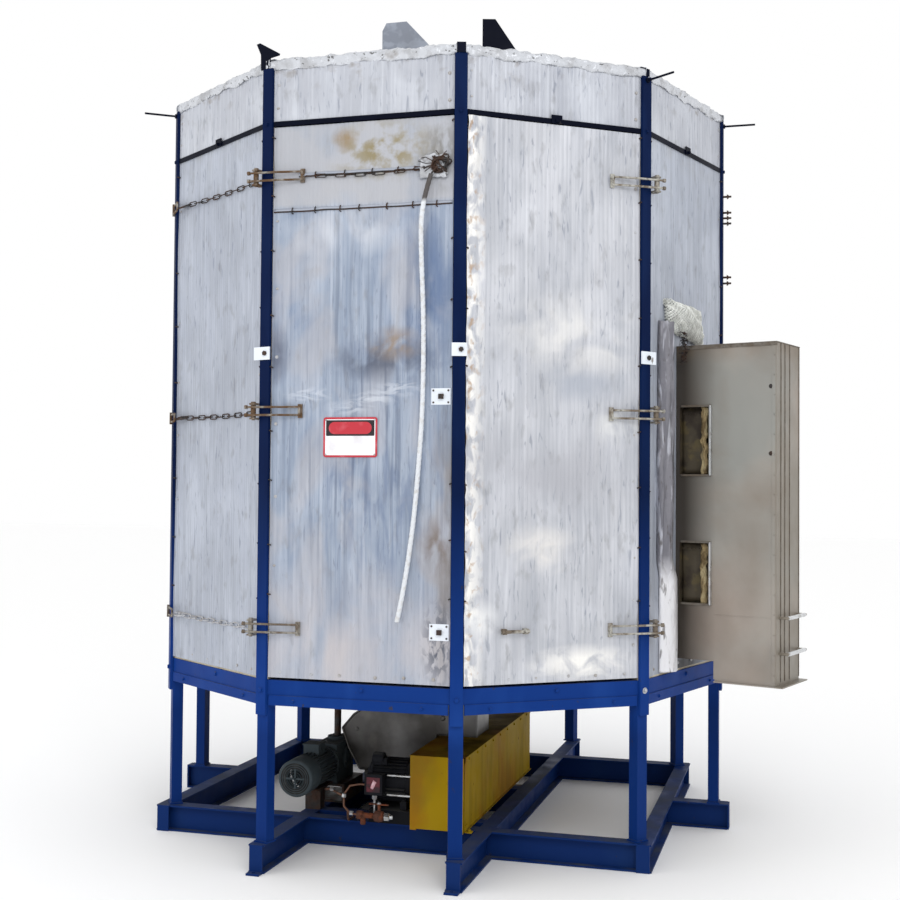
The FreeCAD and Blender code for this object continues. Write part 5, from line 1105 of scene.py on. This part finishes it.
stripe = Shape().add([(x, MOTOR_Y - 0.1542, DRIVE_Z + z) for x, z in stripe_corners], [(0, 1, 2, 3)])
piece("label_stripe", stripe, label_pink, thick=0.0004)
bright = Shape()
for y, z in ((-0.108, 0.040), (-0.110, -0.052)):
    bright.rod((-0.02, MOTOR_Y + y, DRIVE_Z + z), (0.10, MOTOR_Y + y, DRIVE_Z + z), 0.006)
bright.rod((-0.075, MOTOR_Y - 0.130, 0.150), (-0.075, MOTOR_Y - 0.130, DRIVE_Z - 0.050), 0.005)
bright.lathe([(0, 0.010), (0.004, 0.013), (0.018, 0.013), (0.022, 0.009)],
             (-0.075, MOTOR_Y - 0.130, DRIVE_Z - 0.074), (0, 0, 1), 6)
piece("motor_fittings", bright, bright_steel_and_lip_highlight)


# ---------------------------------------------------------------- pipework by the motor

pipes = Shape()
PIPE_Y, PIPE_Z = -0.965, 0.172
pipes.rod((-0.140, PIPE_Y, PIPE_Z), (-0.066, PIPE_Y, PIPE_Z), 0.013, 18)
pipes.lathe(SCREWED_CAP, (-0.150, PIPE_Y, PIPE_Z), (1, 0, 0), 8)
pipes.rod((-0.120, PIPE_Y, 0.128), (-0.120, PIPE_Y, PIPE_Z), 0.013, 18)
pipes.lathe([(0, 0.012), (0.006, 0.024), (0.026, 0.027), (0.046, 0.024), (0.052, 0.012)],
            (-0.066, PIPE_Y, PIPE_Z), (1, 0, 0), 24)
pipes.rod((-0.040, PIPE_Y, PIPE_Z), (-0.040, PIPE_Y, 0.226), 0.007, 12)
pipes.box((-0.088, PIPE_Y - 0.008, 0.226), (0.008, PIPE_Y + 0.008, 0.231))
piece("valve_body", pipes, red_rust, stands_for=["drain_valve"], bevel=0.0008)
union = Shape()
union.lathe([(0, 0.016), (0.003, 0.020), (0.024, 0.020), (0.028, 0.015)], (-0.014, PIPE_Y, PIPE_Z), (1, 0, 0), 6)
union.rod((0.012, PIPE_Y, PIPE_Z), (0.030, PIPE_Y, PIPE_Z), 0.011, 16)
union.hexagon((-0.040, PIPE_Y, 0.231), (0, 0, 1), 0.014, 0.008)
piece("valve_union", union, bright_steel_and_lip_highlight)
tubes = Shape()
tubes.sweep([(-0.150, PIPE_Y, 0.172), (-0.19, -0.958, 0.176), (-0.225, -0.94, 0.20), (-0.235, -0.92, 0.25),
             (-0.21, -0.90, 0.29), (-0.16, -0.895, 0.30), (-0.125, -0.896, 0.30)], 0.0055, 8)
tubes.sweep([(-0.235, -0.925, 0.245), (-0.27, -0.93, 0.262), (-0.30, -0.93, 0.275), (-0.33, -0.92, 0.270)], 0.0055, 8)
tubes.sweep([(-0.20, -0.957, 0.178), (-0.20, -0.95, 0.150), (-0.205, -0.93, 0.135), (-0.205, -0.86, 0.134)], 0.006, 8)
piece("small_bore_tubes", tubes, copper)
elbows = Shape()
for x, y, z, away in ((-0.232, -0.928, 0.240, (0.2, 0, 1)), (-0.300, -0.930, 0.275, (1, 0, 0.1)),
                      (-0.190, -0.958, 0.176, (1, 0, 0))):
    elbows.lathe([(0, 0.009), (0.002, 0.011), (0.016, 0.011), (0.018, 0.009)], (x, y, z), away, 6)
piece("tube_nuts", elbows, bright_steel_and_lip_highlight)


# ---------------------------------------------------------------- gearmotor

GEAR_X, GEAR_Y, GEAR_Z = -0.4572, -0.420, 0.325
gear = Shape()
gear.lathe([(0, 0.030), (0, 0.070), (0.008, 0.076), (0.236, 0.076), (0.240, 0.084), (0.262, 0.084), (0.276, 0.070),
            (0.278, 0.030)], (GEAR_X, -0.862, GEAR_Z), (0, 1, 0), 36)
fin = Shape().box((0.074, 0.010, -0.002), (0.088, 0.225, 0.002))
for t in (2 * math.pi * k / 28 for k in range(28)):
    if math.sin(t) <= 0.75:
        gear.include(fin, Matrix.Translation((GEAR_X, -0.862, GEAR_Z)) @ Matrix.Rotation(t, 4, "Y"))
gear.box((GEAR_X - 0.040, -0.790, GEAR_Z + 0.072), (GEAR_X + 0.040, -0.700, GEAR_Z + 0.122))
gear.box((GEAR_X - 0.044, -0.794, GEAR_Z + 0.122), (GEAR_X + 0.044, -0.696, GEAR_Z + 0.128))
gear.box((GEAR_X - 0.062, GEAR_Y - 0.164, GEAR_Z - 0.105), (GEAR_X + 0.058, GEAR_Y + 0.080, GEAR_Z + 0.090))
gear.lathe([(0, 0.052), (0.014, 0.052), (0.018, 0.046)], (GEAR_X, GEAR_Y, GEAR_Z + 0.088), (0, 0, 1), 28)
gear.lathe([(0, 0.058), (0.010, 0.058), (0.014, 0.050)], (GEAR_X + 0.056, GEAR_Y - 0.010, GEAR_Z), (1, 0, 0), 28)
for k in range(6):
    t = math.radians(60 * k + 15)
    gear.hexagon((GEAR_X + 0.066, GEAR_Y - 0.010 + 0.050 * math.cos(t), GEAR_Z + 0.050 * math.sin(t)),
                 (1, 0, 0), 0.010, 0.006)
    gear.hexagon((GEAR_X + 0.044 * math.cos(t), GEAR_Y + 0.044 * math.sin(t), GEAR_Z + 0.102),
                 (0, 0, 1), 0.010, 0.006)
piece("gearmotor_case", gear, machine_grey, stands_for=["gearmotor"], bevel=0.0015)
cowl = Shape()
cowl.lathe([(0, 0.046), (0, 0.080), (0.003, 0.086), (0.010, 0.0895), (0.120, 0.0895), (0.128, 0.083), (0.126, 0.079),
            (0.118, 0.085), (0.012, 0.085), (0.006, 0.080), (0.004, 0.046), (0, 0.046)],
           (GEAR_X, -0.992, GEAR_Z), (0, 1, 0), 48, False)
bar = Shape().box((0.004, -0.0030, -0.0040), (0.083, 0.0030, 0.0040))
for turn in range(4):
    cowl.include(bar, Matrix.Translation((GEAR_X, -0.990, GEAR_Z)) @ Matrix.Rotation(math.pi / 2 * turn, 4, "Y"))
for radius in (0.018, 0.030, 0.041):
    cowl.sweep([(GEAR_X + radius * math.cos(t), -0.9895, GEAR_Z + radius * math.sin(t))
                for t in (2 * math.pi * k / 28 for k in range(28))], 0.0018, 6, closed=True)
piece("gearmotor_cowl", cowl, machine_grey, stands_for=["gearmotor"])
# painted shade: flat dark rings on the cowl face stand for the shade seen through its slots
slot_shade = Shape()
for inner, outer in ((0.048, 0.054), (0.058, 0.064), (0.068, 0.074)):
    slot_shade.lathe([(0, inner), (0, outer), (0.0014, outer), (0.0014, inner), (0, inner)],
                     (GEAR_X, -0.9932, GEAR_Z), (0, 1, 0), 40, False)
piece("cowl_slot_shade", slot_shade, rubber_and_slot_shade)


# ---------------------------------------------------------------- duct trim

DUCT_FRONT, DUCT_BACK, DUCT_FAR = -0.100, 0.205, 1.895
duct_place = turned(DUCT_FACE)


trim = Shape()
for x in (-0.046, 0.008, 0.072, DUCT_BACK - 0.003):
    trim.box((x - 0.0022, -DUCT_FAR - 0.003, 0.845), (x + 0.0022, -DUCT_FAR + 0.001, 2.412))
trim.box((DUCT_FRONT - 0.003, -DUCT_FAR - 0.003, 2.4095), (DUCT_BACK + 0.003, -1.43, 2.4140))
trim.box((DUCT_FRONT - 0.004, -DUCT_FAR - 0.003, 2.3955), (DUCT_FRONT + 0.001, -1.43, 2.4095))
piece("duct_seams", trim.placed(duct_place), duct_trim, bevel=0.0006)
hem = Shape().box((DUCT_FRONT - 0.0025, -DUCT_FAR, 0.845), (DUCT_FRONT + 0.001, -DUCT_FAR + 0.022, 2.41))
hem.box((DUCT_FRONT - 0.0014, -DUCT_FAR + 0.022, 1.138), (DUCT_FRONT + 0.001, -1.60, 1.142))
piece("duct_hem", hem.placed(duct_place), stainless, bevel=0.0006)
sleeves = Shape()
for level in (1.140, 0.975):
    sleeves.rod((-0.050, -DUCT_FAR - 0.038, level), (0.176, -DUCT_FAR - 0.038, level), 0.0095, 16)
piece("handle_sleeves", sleeves.placed(duct_place), bright_steel_and_lip_highlight)

rivet_row = Shape()
for k in range(17):
    for x, out in ((DUCT_FRONT - 0.0025, (0, -1, 0)), (DUCT_FRONT, (-1, 0, 0))):
        rivet_row.lathe([(0, 0.0045), (0.0012, 0.0045), (0.0028, 0.002)],
                        (x, -DUCT_FAR + 0.011, 0.88 + 0.092 * k), out, 10)
piece("duct_rivets", rivet_row.placed(duct_place), stainless)
face_bolts = Shape()
for z in (2.207, 1.897):
    face_bolts.hexagon((DUCT_FRONT, -1.868, z), (-1, 0, 0), 0.013, 0.006)
piece("duct_face_bolts", face_bolts.placed(duct_place), dark_steel)

PORT_EDGE, DUCT_ROOT = 1.570, 1.418
ports, lip_highlights, inner_panels, tufts = Shape(), Shape(), Shape(), Shape()
for low, high in ((1.800, 2.120), (1.190, 1.474)):
    lip_highlights.box((DUCT_FRONT - 0.019, -PORT_EDGE - 0.010, low - 0.006),
                    (DUCT_FRONT, -PORT_EDGE - 0.003, high + 0.006))
    for start, stop in ((low - 0.010, low), (high, high + 0.010)):
        ports.box((DUCT_FRONT - 0.006, -PORT_EDGE - 0.004, start), (DUCT_FRONT, -1.425, stop))
    panel_points = []
    for u, v in net(8, 12):
        warp = 0.006 * noise.noise(Vector((u * 3, v * 4, low)))
        panel_points.append((DUCT_FRONT + 0.030 + warp, -PORT_EDGE + 0.046 - (PORT_EDGE - 0.046 - DUCT_ROOT) * -u,
                             low + 0.004 + (high - low - 0.008) * v))
    inner_panels.add(panel_points, grid(8, 12))
    for k in range(5):
        inner_panels.hexagon((DUCT_FRONT + 0.030, -PORT_EDGE + 0.065 + 0.020 * k, high - 0.030),
                             (-1, 0, 0), 0.009, 0.006)
    tuft_points = []
    for u, v in net(8, 40):
        fluff = noise.noise(Vector((u * 4, v * 12, low * 3)))
        drift = noise.noise(Vector((v * 9, low, 5)))
        tuft_points.append((DUCT_FRONT + 0.018 - 0.014 * math.sin(math.pi * u) + 0.012 * fluff,
                            -PORT_EDGE + 0.016 + 0.036 * u + 0.012 * drift, low + (high - low) * v))
    tufts.add(tuft_points, grid(8, 40))
piece("port_frames", ports.placed(duct_place), duct_trim, bevel=0.001)
# painted highlight: the upright lip at each port's edge is bright for the light that catches it, while the top and
# bottom port frames are dull trim
piece("port_lip_highlights", lip_highlights.placed(duct_place), bright_steel_and_lip_highlight, bevel=0.001)
piece("port_inner_panels", inner_panels.placed(duct_place), brown_panel, thick=0.0015)
piece("port_wool", tufts.placed(duct_place), dull_wool, thick=0.003, crease=180)


# ---------------------------------------------------------------- belt guard and hopper trim

GUARD_LEFT, GUARD_RIGHT, GUARD_FRONT, GUARD_BACK = 0.117, 0.378, -0.980, 0.446
GUARD_LOW, GUARD_TOP = 0.133, 0.470
folds = Shape()
for low, high in (
        ((GUARD_RIGHT - 0.028, GUARD_FRONT - 0.004, GUARD_LOW),
         (GUARD_RIGHT + 0.003, GUARD_FRONT, GUARD_TOP + 0.003)),
        ((GUARD_RIGHT, GUARD_FRONT - 0.004, GUARD_LOW),
         (GUARD_RIGHT + 0.003, GUARD_FRONT + 0.020, GUARD_TOP + 0.003)),
        ((GUARD_LEFT - 0.002, GUARD_FRONT - 0.003, GUARD_TOP), (GUARD_RIGHT + 0.002, GUARD_BACK, GUARD_TOP + 0.003)),
        ((GUARD_RIGHT, GUARD_FRONT, GUARD_TOP - 0.022), (GUARD_RIGHT + 0.003, GUARD_BACK, GUARD_TOP + 0.003)),
        ((GUARD_RIGHT, GUARD_FRONT, GUARD_LOW), (GUARD_RIGHT + 0.010, GUARD_BACK, GUARD_LOW + 0.003)),
        ((GUARD_RIGHT + 0.002, GUARD_FRONT + 0.015, 0.127), (GUARD_RIGHT + 0.034, GUARD_FRONT + 0.045, 0.134)),
        ((GUARD_RIGHT + 0.002, GUARD_FRONT + 0.015, 0.127), (GUARD_RIGHT + 0.006, GUARD_FRONT + 0.045, 0.162))):
    folds.box(low, high)
for k in range(9):
    folds.hexagon((GUARD_RIGHT + 0.003, GUARD_FRONT + 0.08 + 0.155 * k, GUARD_TOP - 0.012), (1, 0, 0), 0.010, 0.006)
folds.hexagon((GUARD_RIGHT + 0.020, GUARD_FRONT + 0.030, 0.134), (0, 0, 1), 0.014, 0.008)
piece("guard_folds", folds, yellow, bevel=0.001)

hopper = Shape()
outline = [(-0.060, 0.742), (-0.351, 0.552), (-0.411, 0.481), (-0.377, 0.384), (-0.315, 0.278), (0.060, 0.278),
           (0.096, 0.384), (0.096, 0.474), (0.306, 0.474), (0.306, 0.600), (0.140, 0.742)]
for (ax, az), (bx, bz) in zip(outline, outline[1:] + outline[:1]):
    hopper.sweep([(ax, -0.4725, az), (bx, -0.4725, bz)], 0.0055, 8)
hopper.hexagon((0.128, -0.470, 0.560), (0, -1, 0), 0.018, 0.010)
hopper.hexagon((-0.330, -0.470, 0.480), (0, -1, 0), 0.014, 0.008)
piece("hopper_edges", hopper, hopper_steel)

# ---------------------------------------------------------------- stage, lights and camera

floor_mesh = bpy.data.meshes.new("floor")
floor_mesh.from_pydata([(-40, -40, 0), (40, -40, 0), (40, 40, 0), (-40, 40, 0)], [], [(0, 1, 2, 3)])
floor_paint = Surface("floor_paint", (253.8758,) * 3, 0.75, gloss=0.05)
floor_mesh.materials.append(floor_paint.material)
floor = bpy.data.objects.new("floor", floor_mesh)
floor.location.z = -0.0005
bpy.context.scene.collection.objects.link(floor)

world = bpy.data.worlds.new("studio")
world.use_nodes = True
world.node_tree.nodes["Background"].inputs["Color"].default_value = (1.0, 1.0, 1.0, 1)
world.node_tree.nodes["Background"].inputs["Strength"].default_value = 1.0
bpy.context.scene.world = world


def soft_light(name, place, target, size, power):
    light = bpy.data.lights.new(name, "AREA")
    light.shape = "DISK"
    light.size = size
    light.energy = power
    lamp = bpy.data.objects.new(name, light)
    lamp.location = place
    lamp.rotation_euler = (Vector(target) - Vector(place)).to_track_quat("-Z", "Y").to_euler()
    bpy.context.scene.collection.objects.link(lamp)


soft_light("key", (3.4, -7.0, 6.5), (0, 0, 1.8), 4.0, 150)
soft_light("fill", (-5.5, -5.0, 3.0), (0, 0, 1.6), 4.0, 60)

CAMERA_AZIMUTH, CAMERA_DISTANCE, CAMERA_HEIGHT = 16.008, 7.1171, 1.7428
CAMERA_YAW, CAMERA_PITCH, CAMERA_ROLL = 0.154, 1.506, 0.468
FOCAL_PIXELS, PICTURE = 1303.5, 900
azimuth = math.radians(CAMERA_AZIMUTH)
place = Vector((CAMERA_DISTANCE * math.sin(azimuth), -CAMERA_DISTANCE * math.cos(azimuth), CAMERA_HEIGHT))
forward = Vector((-math.sin(azimuth), math.cos(azimuth), 0))
right = Vector((math.cos(azimuth), math.sin(azimuth), 0))
up = Vector((0, 0, 1))
yaw, pitch, roll = (math.radians(a) for a in (CAMERA_YAW, CAMERA_PITCH, CAMERA_ROLL))
forward, right = forward * math.cos(yaw) + right * math.sin(yaw), right * math.cos(yaw) - forward * math.sin(yaw)
forward, up = forward * math.cos(pitch) + up * math.sin(pitch), up * math.cos(pitch) - forward * math.sin(pitch)
right, up = right * math.cos(roll) + up * math.sin(roll), up * math.cos(roll) - right * math.sin(roll)
lens = bpy.data.cameras.new("camera")
lens.sensor_width = 36
lens.lens = FOCAL_PIXELS / PICTURE * 36
lens.clip_end = 200
camera = bpy.data.objects.new("camera", lens)
camera.matrix_world = Matrix((
    (right.x, up.x, -forward.x, place.x),
    (right.y, up.y, -forward.y, place.y),
    (right.z, up.z, -forward.z, place.z),
    (0, 0, 0, 1),
))
bpy.context.scene.collection.objects.link(camera)
bpy.context.scene.camera = camera
bpy.context.scene.view_settings.view_transform = "Standard"
